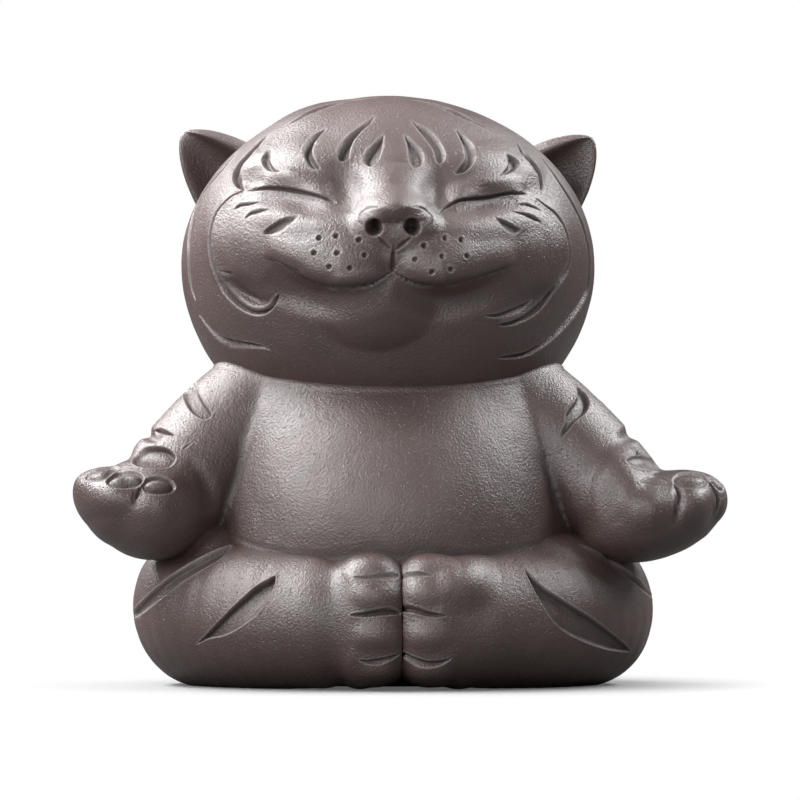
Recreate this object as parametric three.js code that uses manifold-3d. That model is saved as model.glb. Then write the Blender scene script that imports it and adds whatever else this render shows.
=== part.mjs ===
// A tiger tea pet in unglazed purple clay, seated cross-legged with its palms up. Millimetres, +Z up.
// It is built the way such figures are: hollow head and torso in pressed halves, rolled limbs and a base
// slab, each formed by itself and luted to its neighbours. The face looks along -Y, and left and right are
// the animal's own, so left is at +X.
import * as THREE from "three";
import { mergeVertices } from "three/addons/utils/BufferGeometryUtils.js";
import Module from "manifold-3d";

const wasm = await Module();
wasm.setup();

// Driving dimensions
const WALL = 4.5; // pressed clay wall of head and torso
const LUTE = 0.3; // slip-filled gap between pieces that are shaped to each other
const HEAD = { at: [0, 0, 64], side: 31.6, front: 26, back: 25.5, up: 26, down: 28.3 };
const SEAM_Y = 3; // plane where the front and back halves meet
const NECK = { z: 49, tilt: 8 }; // height of the neck joint; degrees that its front drops
const NOSTRIL = { x: 2.75, above: 5.6, r: 1.05 }; // above the middle of the head
const VENT_R = 4; // hole in the base slab
const SLAB = 3; // thickness of the base slab
const STRIPE_DEPTH = 0.9;
const STRIPE_RIM = 0.8; // how far a stripe tool stands out of the surface

const rad = THREE.MathUtils.degToRad;
const vec = (x, y, z) => new THREE.Vector3(x, y, z);

// Solids and booleans

function solidOf(geometry) {
  const bare = geometry.clone();
  for (const name of Object.keys(bare.attributes)) if (name !== "position") bare.deleteAttribute(name);
  const merged = mergeVertices(bare, 1e-4);
  const vertProperties = merged.attributes.position.array;
  const triVerts = new Uint32Array(merged.index.array);
  return new wasm.Manifold(new wasm.Mesh({ numProp: 3, vertProperties, triVerts }));
}

function geometryOf(solid) {
  const mesh = solid.getMesh();
  const geometry = new THREE.BufferGeometry();
  geometry.setAttribute("position", new THREE.BufferAttribute(mesh.vertProperties, 3));
  geometry.setIndex(new THREE.BufferAttribute(mesh.triVerts, 1));
  const faceted = geometry.toNonIndexed();
  faceted.computeVertexNormals();
  return faceted;
}

const join = (...solids) => solids.reduce((all, one) => all.add(one));
const cut = (solid, ...tools) => tools.reduce((left, tool) => left.subtract(tool), solid);

// Forms

// Moves every vertex of a geometry by a function of its position.
function reshape(geometry, move) {
  const position = geometry.attributes.position;
  const p = vec(0, 0, 0);
  for (let i = 0; i < position.count; i++) {
    move(p.fromBufferAttribute(position, i));
    position.setXYZ(i, p.x, p.y, p.z);
  }
  return geometry;
}

// A ball with its own radius on each side: front and back, up and down. tilt raises its +X side.
function egg({ at, side, front, back = front, up, down = up, tilt = 0 }, columns, rows, grow = 0) {
  const ball = new THREE.SphereGeometry(1, columns, rows).rotateX(Math.PI / 2);
  reshape(ball, (p) => {
    const deep = (p.y < 0 ? front : back) + grow;
    const high = (p.z < 0 ? down : up) + grow;
    p.set(p.x * (side + grow), p.y * deep, p.z * high);
  });
  return ball.rotateY(-rad(tilt)).translate(...at);
}

// A closed skin over rings of equally many points, with a point at each end.
function loft(rings, first, last) {
  const around = rings[0].length;
  const points = [first, ...rings.flat(), last];
  const index = [];
  const at = (ring, i) => 1 + ring * around + (i % around);
  for (let i = 0; i < around; i++) {
    index.push(0, at(0, i + 1), at(0, i));
    for (let r = 0; r + 1 < rings.length; r++) {
      index.push(at(r, i), at(r, i + 1), at(r + 1, i));
      index.push(at(r, i + 1), at(r + 1, i + 1), at(r + 1, i));
    }
    index.push(points.length - 1, at(rings.length - 1, i), at(rings.length - 1, i + 1));
  }
  let volume = 0;
  for (let i = 0; i < index.length; i += 3) {
    const [a, b, c] = [points[index[i]], points[index[i + 1]], points[index[i + 2]]];
    volume += a.dot(b.clone().cross(c));
  }
  if (volume < 0) index.reverse(); // the rings ran the other way round
  return new THREE.BufferGeometry().setFromPoints(points).setIndex(index);
}

// A rolled limb along a curve. Each station is [x, y, z, half width, half height]; both ends are rounded.
// top is a direction that the curve never takes: the half height is measured towards it.
function limb(stations, { grow = 0, top = vec(0, 0, 1), steps = 12, around = 16, capSteps = 4 } = {}) {
  const path = new THREE.CatmullRomCurve3(stations.map(([x, y, z]) => vec(x, y, z)));
  const sizes = new THREE.CatmullRomCurve3(stations.map((s) => vec(s[3] + grow, s[4] + grow, 0)));
  const ring = (t, scale, shift) => {
    const along = path.getTangent(t);
    const across = top.clone().cross(along).normalize();
    const upward = along.clone().cross(across);
    const size = sizes.getPoint(t);
    const centre = path.getPoint(t).addScaledVector(along, shift * size.x);
    return Array.from({ length: around }, (_, i) => {
      const a = (i / around) * 2 * Math.PI;
      return centre.clone()
        .addScaledVector(across, Math.cos(a) * size.x * scale)
        .addScaledVector(upward, Math.sin(a) * size.y * scale);
    });
  };
  const cap = (t, sign) => Array.from({ length: capSteps - 1 }, (_, i) => {
    const a = ((i + 1) / capSteps) * (Math.PI / 2);
    return ring(t, Math.sin(a), sign * Math.cos(a));
  });
  const body = Array.from({ length: steps + 1 }, (_, i) => ring(i / steps, 1, 0));
  const end = (t, sign) => path.getPoint(t).addScaledVector(path.getTangent(t), sign * sizes.getPoint(t).x);
  return loft([...cap(0, -1), ...body, ...cap(1, 1).reverse()], end(0, -1), end(1, 1));
}

// Everything on one side of a plane: a box whose near face is the plane z = 0 of its own frame.
function above(plane) {
  const size = 200;
  return new THREE.BoxGeometry(size, size, size).translate(0, 0, size / 2).applyMatrix4(plane);
}

const mirrored = (solid) => solid.mirror([1, 0, 0]);

// The skin that faces the front: gives the point and outward normal over each front-view (x, z).
function frontOf(geometry) {
  const bare = geometry.clone().deleteAttribute("uv").deleteAttribute("normal");
  const skin = mergeVertices(bare);
  skin.computeVertexNormals();
  const mesh = new THREE.Mesh(skin, new THREE.MeshBasicMaterial({ side: THREE.DoubleSide }));
  const ray = new THREE.Raycaster();
  return (x, z) => {
    ray.set(vec(x, -200, z), vec(0, 1, 0));
    const hit = ray.intersectObject(mesh)[0];
    if (!hit) throw new Error(`nothing faces the front at ${x}, ${z}`);
    return { point: hit.point.clone(), normal: hit.normal.clone() };
  };
}

// A gouge that cuts a stripe: widest in the middle, running out to a point at both ends.
// surface(x, z) gives the point and normal under each front-view point of the stripe.
function gouge({ line, width, depth = STRIPE_DEPTH, blunt = 0.25 }, surface, steps = 9) {
  const curve = new THREE.CatmullRomCurve3(line.map(([x, z]) => vec(x, 0, z)));
  const rings = [];
  for (let i = 1; i < steps; i++) {
    const t = i / steps;
    const here = curve.getPoint(t);
    const next = curve.getPoint(Math.min(1, t + 0.02));
    const before = curve.getPoint(Math.max(0, t - 0.02));
    const { point, normal } = surface(here.x, here.z);
    const along = surface(next.x, next.z).point.sub(surface(before.x, before.z).point).normalize();
    const across = normal.clone().cross(along).normalize();
    const swell = Math.sin(Math.PI * t) ** (1 - blunt);
    const half = (width / 2) * swell;
    const spot = (side, out) => point.clone().addScaledVector(across, side).addScaledVector(normal, out);
    rings.push([
      spot(-half - STRIPE_RIM * 0.3, STRIPE_RIM),
      spot(-half * 0.45, -depth * swell),
      spot(half * 0.45, -depth * swell),
      spot(half + STRIPE_RIM * 0.3, STRIPE_RIM),
    ]);
  }
  const tip = (t) => {
    const p = curve.getPoint(t);
    const { point, normal } = surface(p.x, p.z);
    return point.addScaledVector(normal, STRIPE_RIM * 0.5);
  };
  return loft(rings, tip(0), tip(1));
}

// Head: a ball whose face is modelled in low relief

// A place on the face is [x, z] in the front view: shares of the ball's half width, and of its height above
// or below the middle. A swelling reaches out from its place to a half width and half height in millimetres,
// and stands proud of the ball there; a hollow is less than nothing proud. Those off the middle come twice.
const RELIEF = [
  { x: 0.7, z: 0, wide: 12, high: 15, proud: 1.3 }, // cheek
  { x: 0.52, z: 0.61, wide: 12, high: 6.5, proud: 1.6, turn: 12 }, // brow
  { x: 0.46, z: 0.5, wide: 8, high: 4, proud: 0.8 }, // upper lid
  { x: 0.47, z: 0.33, wide: 8, high: 3.4, proud: 0.7 }, // lower lid
  { x: 0.25, z: 0.09, wide: 12.5, high: 9, proud: 3 }, // whisker pad
  { x: 0, z: -0.26, wide: 17, high: 8.5, proud: 2.2 }, // chin
  { x: 0, z: 0.4, wide: 9, high: 8.5, proud: 2.6 }, // bridge of the nose
  { x: 0, z: 0.28, wide: 6.8, high: 6.2, proud: 2.8 }, // nose
  { x: 0.12, z: 0.25, wide: 3.4, high: 3.6, proud: 1.1 }, // wing of the nose
  { x: 0.27, z: 0.48, wide: 5, high: 4.5, proud: -1.5 }, // corner of the eye
  { x: 0.41, z: -0.16, wide: 8, high: 4, proud: -0.9 }, // under the mouth
];

const onFace = ([x, z]) => [HEAD.at[0] + x * HEAD.side, HEAD.at[2] + z * (z < 0 ? HEAD.down : HEAD.up)];

function reliefAt(x, z) {
  const one = ({ x: right, z: up, wide, high, proud, turn = 0 }) => {
    const [cx, cz] = onFace([right, up]);
    const c = Math.cos(rad(turn));
    const s = Math.sin(rad(turn));
    const u = ((x - cx) * c - (z - cz) * s) / wide;
    const v = ((x - cx) * s + (z - cz) * c) / high;
    return proud * Math.max(0, 1 - u * u - v * v) ** 2;
  };
  const twin = (swell) => ({ ...swell, x: -swell.x, turn: -(swell.turn ?? 0) });
  return RELIEF.reduce((sum, swell) => sum + one(swell) + (swell.x ? one(twin(swell)) : 0), 0);
}

// The ball is laid out in rings round the middle of the face, closest together there.
const FACE_RINGS = 38;
const FACE_SPOKES = 48;
const FACE_CROWDING = 1.35; // over 1 draws the rings towards the nose

function headSkin() {
  const ball = new THREE.SphereGeometry(1, FACE_SPOKES, FACE_RINGS);
  return reshape(ball, (p) => {
    const polar = Math.acos(THREE.MathUtils.clamp(-p.y, -1, 1)) / Math.PI;
    const angle = Math.PI * polar ** FACE_CROWDING;
    const around = Math.atan2(p.z, p.x);
    const x = Math.sin(angle) * Math.cos(around);
    const z = Math.sin(angle) * Math.sin(around);
    const y = -Math.cos(angle);
    p.set(
      x * HEAD.side + HEAD.at[0],
      y * (y < 0 ? HEAD.front : HEAD.back) + HEAD.at[1],
      z * (z < 0 ? HEAD.down : HEAD.up) + HEAD.at[2],
    );
    if (y > 0) return;
    const normal = vec(x / HEAD.side, y / HEAD.front, z / (z < 0 ? HEAD.down : HEAD.up)).normalize();
    p.addScaledVector(normal, reliefAt(p.x, p.z));
  });
}

// Stripes and folds, as places on one half of the face
const HEAD_STRIPES = [
  { line: [[0.05, 0.77], [0.1, 0.68], [0.12, 0.58]], width: 2.0 },
  { line: [[0.09, 0.86], [0.18, 0.77], [0.23, 0.68], [0.24, 0.6]], width: 1.9 },
  { line: [[0.32, 0.8], [0.4, 0.71], [0.41, 0.63], [0.36, 0.56]], width: 1.7 },
  { line: [[0.59, 0.68], [0.62, 0.61], [0.59, 0.56], [0.54, 0.55]], width: 1.2 },
  { line: [[0.59, 0.77], [0.7, 0.67], [0.76, 0.55], [0.76, 0.47]], width: 1.2 },
  {
    line: [[0.74, 0.41], [0.84, 0.32], [0.89, 0.19], [0.89, 0.06], [0.84, -0.09], [0.75, -0.2], [0.6, -0.3]],
    width: 1.2,
  },
  { line: [[0.71, 0.64], [0.81, 0.49], [0.89, 0.33], [0.94, 0.15]], width: 0.9, depth: 0.7 },
  { line: [[0.9, -0.25], [0.82, -0.37], [0.71, -0.44], [0.58, -0.45]], width: 1.2 },
  { line: [[0.77, 0.33], [0.7, 0.36], [0.62, 0.37]], width: 0.8, depth: 0.6 },
  { line: [[0.72, 0.25], [0.65, 0.3], [0.58, 0.32]], width: 0.9, depth: 0.6 },
  { line: [[0.62, 0.19], [0.55, 0.25], [0.47, 0.28]], width: 1.3, depth: 0.7 },
];
const CROWN_STRIPE = {
  line: [[-0.5, 0.81], [-0.28, 0.92], [0, 0.95], [0.28, 0.92], [0.5, 0.81]],
  width: 1.1,
};
const EYE = {
  line: [[0.27, 0.34], [0.36, 0.4], [0.47, 0.43], [0.6, 0.45], [0.71, 0.43]],
  width: 1.3,
  depth: 1.3,
};
const MOUTH = {
  line: [[0.01, -0.02], [0.11, -0.09], [0.25, -0.12], [0.41, -0.07], [0.51, 0.01], [0.62, 0.01]],
  width: 1.4,
  depth: 1.4,
};
const PHILTRUM = { line: [[0, 0.17], [0, 0.08], [0, -0.05]], width: 1, depth: 0.9 };

function headSolid() {
  const skin = headSkin();
  const onHead = frontOf(skin);
  const carve = (stripe) => solidOf(gouge({ ...stripe, line: stripe.line.map(onFace) }, onHead));
  const carved = [...HEAD_STRIPES, EYE, MOUTH].map(carve).flatMap((tool) => [tool, mirrored(tool)]);
  const single = [CROWN_STRIPE, PHILTRUM].map(carve);
  const nostril = new THREE.CylinderGeometry(NOSTRIL.r, NOSTRIL.r, HEAD.front, 12)
    .translate(NOSTRIL.x, -HEAD.front, HEAD.at[2] + NOSTRIL.above);
  const holes = [solidOf(nostril), mirrored(solidOf(nostril))];
  const hollow = solidOf(egg(HEAD, 24, 16, -WALL));
  return cut(solidOf(skin), hollow, ...single, ...carved, ...holes);
}

// Ear: a cupped flap that rises from the back half of the head and leans out
const EAR = {
  in: 11.1, // from the head's side in to the root
  back: 8.5,
  above: 9,
  reach: [10.2, -2.4, 10.3], // from root to tip
  half: 9.4,
  thick: 2.5,
  thin: 1.1,
  cup: 2,
};

function earSolid() {
  const root = vec(HEAD.side - EAR.in, EAR.back, HEAD.at[2] + EAR.above);
  const along = vec(...EAR.reach);
  const across = along.clone().cross(vec(0, 1, 0)).normalize();
  const rings = Array.from({ length: 8 }, (_, r) => {
    const t = Math.sin(((r + 0.4) / 8) * (Math.PI / 2));
    const half = EAR.half * (1 - t ** 2.4) ** 0.62;
    const thick = THREE.MathUtils.lerp(EAR.thick, EAR.thin, t);
    const centre = root.clone().addScaledVector(along, t);
    return Array.from({ length: 18 }, (_, k) => {
      const a = (k / 18) * 2 * Math.PI;
      const curl = -EAR.cup * Math.cos(a) ** 2; // the edges curl forward
      return centre.clone()
        .addScaledVector(across, Math.cos(a) * half)
        .add(vec(0, Math.sin(a) * thick + curl, 0));
    });
  });
  const flap = solidOf(loft(rings, root, root.clone().add(along)));
  return cut(flap, solidOf(egg(HEAD, 40, 26, LUTE)));
}

// Torso: pear-shaped, with its sections given as [z, half width, front, back]. Its top is a little slimmer
// than the ball of the head is where the two meet.
const NECK_SIDE = HEAD.side * Math.sqrt(1 - ((HEAD.at[2] - NECK.z) / HEAD.down) ** 2);
const TORSO = [
  [0, 24, 18, 21],
  [4, 28, 23, 25],
  [12, 30.5, 27, 28],
  [24, 28.6, 28.5, 28],
  [36, 26.6, 26, 26],
  [NECK.z - 3, NECK_SIDE - 0.8, 20.5, 23],
  [NECK.z + 7, NECK_SIDE - 3.8, 14, 19],
];
const TORSO_SQUARE = 2.1; // exponent of the section: 2 is an ellipse, more is squarer

function torsoGeometry(grow, rows, around) {
  const at = (list) => new THREE.CatmullRomCurve3(TORSO.map((s) => vec(...list.map((i) => s[i]))));
  const first = at([0, 1, 2]);
  const second = at([0, 3, 3]);
  const rings = Array.from({ length: rows + 1 }, (_, r) => {
    const a = first.getPoint(r / rows);
    const b = second.getPoint(r / rows);
    return Array.from({ length: around }, (_, i) => {
      const angle = (i / around) * 2 * Math.PI;
      const power = 2 / TORSO_SQUARE;
      const c = Math.cos(angle);
      const s = Math.sin(angle);
      const deep = (s < 0 ? a.z : b.y) + grow;
      return vec(
        Math.sign(c) * Math.abs(c) ** power * (a.y + grow),
        Math.sign(s) * Math.abs(s) ** power * deep,
        a.x,
      );
    });
  });
  return loft(rings, vec(0, 0, TORSO[0][0]), vec(0, 0, TORSO.at(-1)[0]));
}

// Limbs, each as stations of [x, y, z, half width, half height] on the left side
const ARM = [
  [NECK_SIDE - 7, -3, NECK.z - 7.8, 9.2, 8.8],
  [NECK_SIDE - 2.3, -4.6, NECK.z - 10.6, 9.6, 9.4],
  [29.8, -8.2, 33, 9.6, 9],
  [34, -11.8, 28.6, 8.8, 8.2],
];
const PAW = { at: [39.4, -14, 28], side: 11, front: 9.6, back: 8.4, up: 7.4, down: 7.6, tilt: 18 };
const LEG = [
  [13, 9, 11, 9, 11.4],
  [25.6, 4.6, 12, 10.6, 12.2],
  [29.7, -6, 11.6, 10.7, 11.9],
  [23.5, -17.5, 10.8, 10.2, 11.1],
  [12, -24, 10.1, 9.6, 10.4],
];
const FOOT = { at: [3.8, -28, 10.2], side: 6.6, front: 8, back: 8, up: 10.2, down: 10.4 };
const TAIL = [
  [-2, 25.5, 5, 3.6, 3.6],
  [6, 27.6, 4.6, 3.6, 3.6],
  [14, 26.6, 6, 3.5, 3.5],
  [19, 23.6, 11, 3.3, 3.3],
  [17.6, 24.4, 17, 3.1, 3.1],
  [12.4, 27, 20, 2.9, 2.9],
];
const LEG_STRIPES = [
  { line: [[25.3, 20.4], [29.5, 18.6], [34.1, 15.4], [38.4, 11.4]], width: 2.1 },
  { line: [[18.7, 16.2], [21, 13.6], [24.6, 10.4], [30.9, 5.8]], width: 3.2 },
];
const ARM_STRIPES = [{ line: [[30.4, 42.2], [29.6, 40.2], [26.4, 38]], width: 2.2 }];
const TOE_CREASES = [16.2, 10.3, 3.6].map((z) => ({
  line: [[-0.4, z], [2.6, z - 0.2], [5.2, z + 0.1], [7.4, z + 0.5]],
  width: 1,
  depth: 1,
}));
// Pads of the palm and the toes, low ovals sunk into the paw, as [x, z, half width, half height]
const PADS = [
  [37.8, 35, 3.9, 2.2],
  [36.4, 31.8, 2.7, 1.6],
  [41.4, 32.3, 2.8, 1.6],
  [45.8, 31.6, 2.1, 1.4],
];
const PAD_PROUD = 0.5;
const onPaw = frontOf(egg(PAW, 22, 14));

function padSolid([x, z, wide, high], grow) {
  const { point, normal } = onPaw(x, z);
  const at = point.addScaledVector(normal, PAD_PROUD - high).toArray();
  return solidOf(egg({ at, side: wide, front: high, up: high }, 12, 8, grow));
}

const pawSolid = (grow) => join(solidOf(egg(PAW, 22, 14, grow)), ...PADS.map((pad) => padSolid(pad, grow)));

// Assembly

const floor = solidOf(above(new THREE.Matrix4()));
const neckPlane = (gap) => new THREE.Matrix4()
  .makeRotationX(rad(NECK.tilt))
  .setPosition(0, 0, NECK.z + gap);
const overNeck = solidOf(above(neckPlane(LUTE / 2)));
const underNeck = solidOf(above(neckPlane(-LUTE / 2).multiply(new THREE.Matrix4().makeRotationX(Math.PI))));
const behind = solidOf(above(new THREE.Matrix4().makeRotationX(-Math.PI / 2).setPosition(0, SEAM_Y, 0)));
const before = solidOf(above(new THREE.Matrix4().makeRotationX(Math.PI / 2).setPosition(0, SEAM_Y, 0)));
const onLeft = solidOf(above(new THREE.Matrix4().makeRotationY(Math.PI / 2)));

const head = headSolid().intersect(overNeck);
const torsoOuter = solidOf(torsoGeometry(0, 14, 36)).intersect(underNeck);
const torsoGrown = solidOf(torsoGeometry(LUTE, 14, 36));
const torsoInner = solidOf(torsoGeometry(-WALL, 8, 24));
const torso = cut(torsoOuter, torsoInner);
const slab = cut(
  solidOf(torsoGeometry(-WALL - LUTE, 8, 24)),
  solidOf(above(new THREE.Matrix4().setPosition(0, 0, SLAB))),
  solidOf(new THREE.CylinderGeometry(VENT_R, VENT_R, 4 * SLAB, 32).rotateX(Math.PI / 2)),
);

const rolls = {
  arm: limb(ARM),
  leg: limb(LEG),
  tail: limb(TAIL, { top: vec(0, 1, 0), steps: 20, around: 12 }),
};
const headGrown = solidOf(egg(HEAD, 40, 26, LUTE)).intersect(overNeck);
const paw = pawSolid(0);
const pawGrown = pawSolid(LUTE);
const foot = solidOf(egg(FOOT, 18, 14)).intersect(onLeft).intersect(floor);
const footGrown = solidOf(egg(FOOT, 18, 14, LUTE));
const legTools = LEG_STRIPES.map((stripe) => solidOf(gouge(stripe, frontOf(rolls.leg))));
const armTools = ARM_STRIPES.map((stripe) => solidOf(gouge(stripe, frontOf(rolls.arm))));
const onFoot = frontOf(egg(FOOT, 18, 14));
const toeTools = TOE_CREASES.map((crease) => solidOf(gouge(crease, onFoot)));

const legRoll = solidOf(rolls.leg).intersect(floor).intersect(onLeft);
const legGrown = solidOf(limb(LEG, { grow: LUTE }));
const armGrown = solidOf(limb(ARM, { grow: LUTE }));

// Left side pieces, each shaped to the neighbours that were there before it
const left = {
  ear: earSolid(),
  leg: cut(legRoll, torsoGrown, footGrown, ...legTools),
  foot: cut(foot, torsoGrown, ...toeTools),
  arm: cut(solidOf(rolls.arm), torsoGrown, headGrown, legGrown, pawGrown, ...armTools),
  paw: cut(paw, torsoGrown, legGrown),
};

const CLAY = { color: 0x4a3a38, roughness: 0.5, metalness: 0 };
const DARK_CLAY = { color: 0x3d302f, roughness: 0.7, metalness: 0 };

const assembled = new THREE.Group();
function place(name, solid, finish = CLAY) {
  const parts = solid.decompose().sort((a, b) => b.volume() - a.volume());
  const mesh = new THREE.Mesh(geometryOf(parts[0]), new THREE.MeshStandardMaterial(finish)); // no crumbs
  mesh.name = name;
  assembled.add(mesh);
}

place("face_shell", head.intersect(before));
place("head_back_shell", head.intersect(behind));
place("belly_shell", torso.intersect(before));
place("back_shell", torso.intersect(behind));
place("base_slab", slab, DARK_CLAY);
for (const [name, solid] of Object.entries(left)) {
  place("left_" + name, solid);
  place("right_" + name, mirrored(solid));
}
place("tail", cut(solidOf(rolls.tail).intersect(floor), torsoGrown, legGrown));

// The origin is under the middle of the whole figure.
const box = new THREE.Box3().setFromObject(assembled);
assembled.position.set(-(box.min.x + box.max.x) / 2, -(box.min.y + box.max.y) / 2, -box.min.z);
const figure = new THREE.Group();
figure.add(assembled);

export default figure;
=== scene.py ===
# The tiger tea pet, dressed: burnished purple clay with carved stripes, on a pale floor.
# Until a piece is finished its sizes are millimetres. The face looks along -Y. Left is the animal's own,
# at +X.
# Carving is drawn where a straight photograph of the figure shows it, as pixels of an 800 x 800 frame.
import math

import bmesh
import bpy
import numpy as np
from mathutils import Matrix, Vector, noise
from mathutils.bvhtree import BVHTree


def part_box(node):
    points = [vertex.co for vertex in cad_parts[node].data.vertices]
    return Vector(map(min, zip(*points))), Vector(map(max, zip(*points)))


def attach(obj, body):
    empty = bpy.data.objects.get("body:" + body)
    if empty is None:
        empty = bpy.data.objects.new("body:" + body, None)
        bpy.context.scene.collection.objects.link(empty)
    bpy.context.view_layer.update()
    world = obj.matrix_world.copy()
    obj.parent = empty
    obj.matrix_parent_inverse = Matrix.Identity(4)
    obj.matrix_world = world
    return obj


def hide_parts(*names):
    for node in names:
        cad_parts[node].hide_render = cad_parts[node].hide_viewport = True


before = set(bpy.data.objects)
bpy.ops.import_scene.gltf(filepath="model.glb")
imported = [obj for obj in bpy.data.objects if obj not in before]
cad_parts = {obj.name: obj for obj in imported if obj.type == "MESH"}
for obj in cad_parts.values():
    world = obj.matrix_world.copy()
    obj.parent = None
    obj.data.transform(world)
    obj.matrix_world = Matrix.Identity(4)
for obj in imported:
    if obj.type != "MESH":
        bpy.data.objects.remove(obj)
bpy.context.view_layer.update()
mm = 0.001


# The camera, and where it sees things

view = {
    "azimuth": -2.2,  # degrees, towards the animal's right
    "elevation": 0.5,
    "distance": 1500.0,
    "lens": 441.7,
    "sensor": 36.0,
    "lookAt": (0.75, 0.0, 43.4),
    "framePixels": 800,
    "farthest": 20,  # metres
}

azimuth, elevation = math.radians(view["azimuth"]), math.radians(view["elevation"])
towardsCamera = np.array([math.sin(azimuth) * math.cos(elevation), -math.cos(azimuth) * math.cos(elevation),
                          math.sin(elevation)])
cameraPlace = np.array(view["lookAt"]) + view["distance"] * towardsCamera
cameraRight = np.array([math.cos(azimuth), math.sin(azimuth), 0.0])
cameraUp = np.cross(cameraRight, -towardsCamera)
focalPixels = view["framePixels"] * view["lens"] / view["sensor"]
pixelSize = view["distance"] / focalPixels  # millimetres to one pixel, at the figure


def seenAt(points):
    # the pixel at which the camera sees each point
    away = np.asarray(points, float) - cameraPlace
    depth = away @ -towardsCamera
    middle = view["framePixels"] / 2
    return np.stack([middle + away @ cameraRight / depth * focalPixels,
                     middle - away @ cameraUp / depth * focalPixels], 1)


def rayThrough(pixel):
    middle = view["framePixels"] / 2
    ray = (-towardsCamera * focalPixels + cameraRight * (pixel[0] - middle) - cameraUp * (pixel[1] - middle))
    return ray / np.linalg.norm(ray)


# Where things stand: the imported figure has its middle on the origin

headSeam = 3.0  # the plane between the halves, behind the middle of the head ball
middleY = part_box("face_shell")[1].y / mm - headSeam

stance = {
    "lean": -1.0,  # how far the head drifts to the animal's right: it was set up by hand
    "leanHeight": 52.0,
}


def ease(values):
    # 0 below 0, 1 above 1, and a soft slope between
    t = np.clip(values, 0, 1)
    return t * t * (3 - 2 * t)


def settle(points):
    # from the drawing's place to the figure's place in the frame
    placed = np.array(points, float)
    placed[:, 0] += stance["lean"] * ease(placed[:, 2] / stance["leanHeight"])
    placed[:, 1] += middleY
    return placed


# Points of a bmesh as arrays


reader = bpy.data.meshes.new("reader")


def fetched(collection, name, width=1, kind=np.float32):
    # one value, or a row of values, for each thing in a mesh's collection
    values = np.empty(width * len(collection), kind)
    collection.foreach_get(name, values)
    return values.reshape(-1, width) if width > 1 else values


def pointsOf(bm):
    bm.to_mesh(reader)
    return fetched(reader.vertices, "co", 3).astype(float)


def normalsOf(bm):
    bm.normal_update()
    bm.to_mesh(reader)
    return fetched(reader.vertex_normals, "vector", 3).astype(float)


def movePoints(bm, points):
    for vert, point in zip(bm.verts, points.tolist()):
        vert.co = point


def marksOf(bm, name):
    marks = bm.verts.layers.float.get(name) or bm.verts.layers.float.new(name)
    bm.to_mesh(reader)
    return marks, fetched(reader.attributes[name].data, "value").astype(float)


def setMarks(bm, marks, values):
    for vert, value in zip(bm.verts, values.tolist()):
        vert[marks] = value


def subdivideWhere(bm, chosen):
    bm.verts.index_update()
    edges = [e for e in bm.edges if chosen[e.verts[0].index] and chosen[e.verts[1].index]]
    bmesh.ops.subdivide_edges(bm, edges=edges, cuts=1, use_grid_fill=True)


# Curves and distances


def smoothLine(points, steps=8, closed=False):
    given = [np.array(p, float) for p in points]
    if closed:
        ends = [given[-1]] + given + [given[0], given[1]]
    else:
        ends = [2 * given[0] - given[1]] + given + [2 * given[-1] - given[-2]]
    rows = []
    for a, b, c, d in zip(ends, ends[1:], ends[2:], ends[3:]):
        for t in np.linspace(0, 1, steps, endpoint=False):
            rows.append(0.5 * (2 * b + (c - a) * t + (2 * a - 5 * b + 4 * c - d) * t**2
                               + (3 * b - a - 3 * c + d) * t**3))
    rows.append(given[0] if closed else given[-1])
    return np.array(rows)


def nearestOnLine(places, line):
    # for each place: its distance from the line, how far along that is, and the gap and run there
    run = np.diff(line, axis=0)
    length = np.maximum(np.linalg.norm(run, axis=1), 1e-9)
    before = np.concatenate([[0], np.cumsum(length)])
    away = places[:, None, :] - line[None, :-1]
    share = np.clip((away * run).sum(2) / length**2, 0, 1)
    gap = away - share[..., None] * run
    distance = np.linalg.norm(gap, axis=2)
    best = distance.argmin(1)
    row = np.arange(len(places))
    along = (before[best] + share[row, best] * length[best]) / before[-1]
    return distance[row, best], along, gap[row, best], run[best] / length[best][:, None]


def insideOutline(places, outline):
    inside = np.zeros(len(places), bool)
    for a, b in zip(outline[:-1], outline[1:]):
        crosses = (a[1] > places[:, 1]) != (b[1] > places[:, 1])
        level = (places[:, 1] - a[1]) / (b[1] - a[1] + 1e-12)
        inside ^= crosses & (places[:, 0] < a[0] + level * (b[0] - a[0]))
    return inside


def closeTo(places, line, reach):
    # which places lie in the line's box, grown by so much on each side
    return ((places > line.min(0) - reach) & (places < line.max(0) + reach)).all(1)


def traced(tree, pixels, steps=6, jump=4):
    # a line drawn in the camera's view, laid on the surface, leaving out points that jump away from the last
    found = []
    for pixel in smoothLine(pixels, steps):
        hit = tree.ray_cast(Vector(cameraPlace), Vector(rayThrough(pixel)))[0]
        if hit is not None and (not found or (Vector(found[-1]) - hit).length < jump):
            found.append(tuple(hit))
    return np.array(found)


# The carving tools. A stroke's line is where its deepest cut runs. Its left hand is the side on the left of
# its travel, looking at the clay: steep says how much of the width lies on that side.

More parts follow.
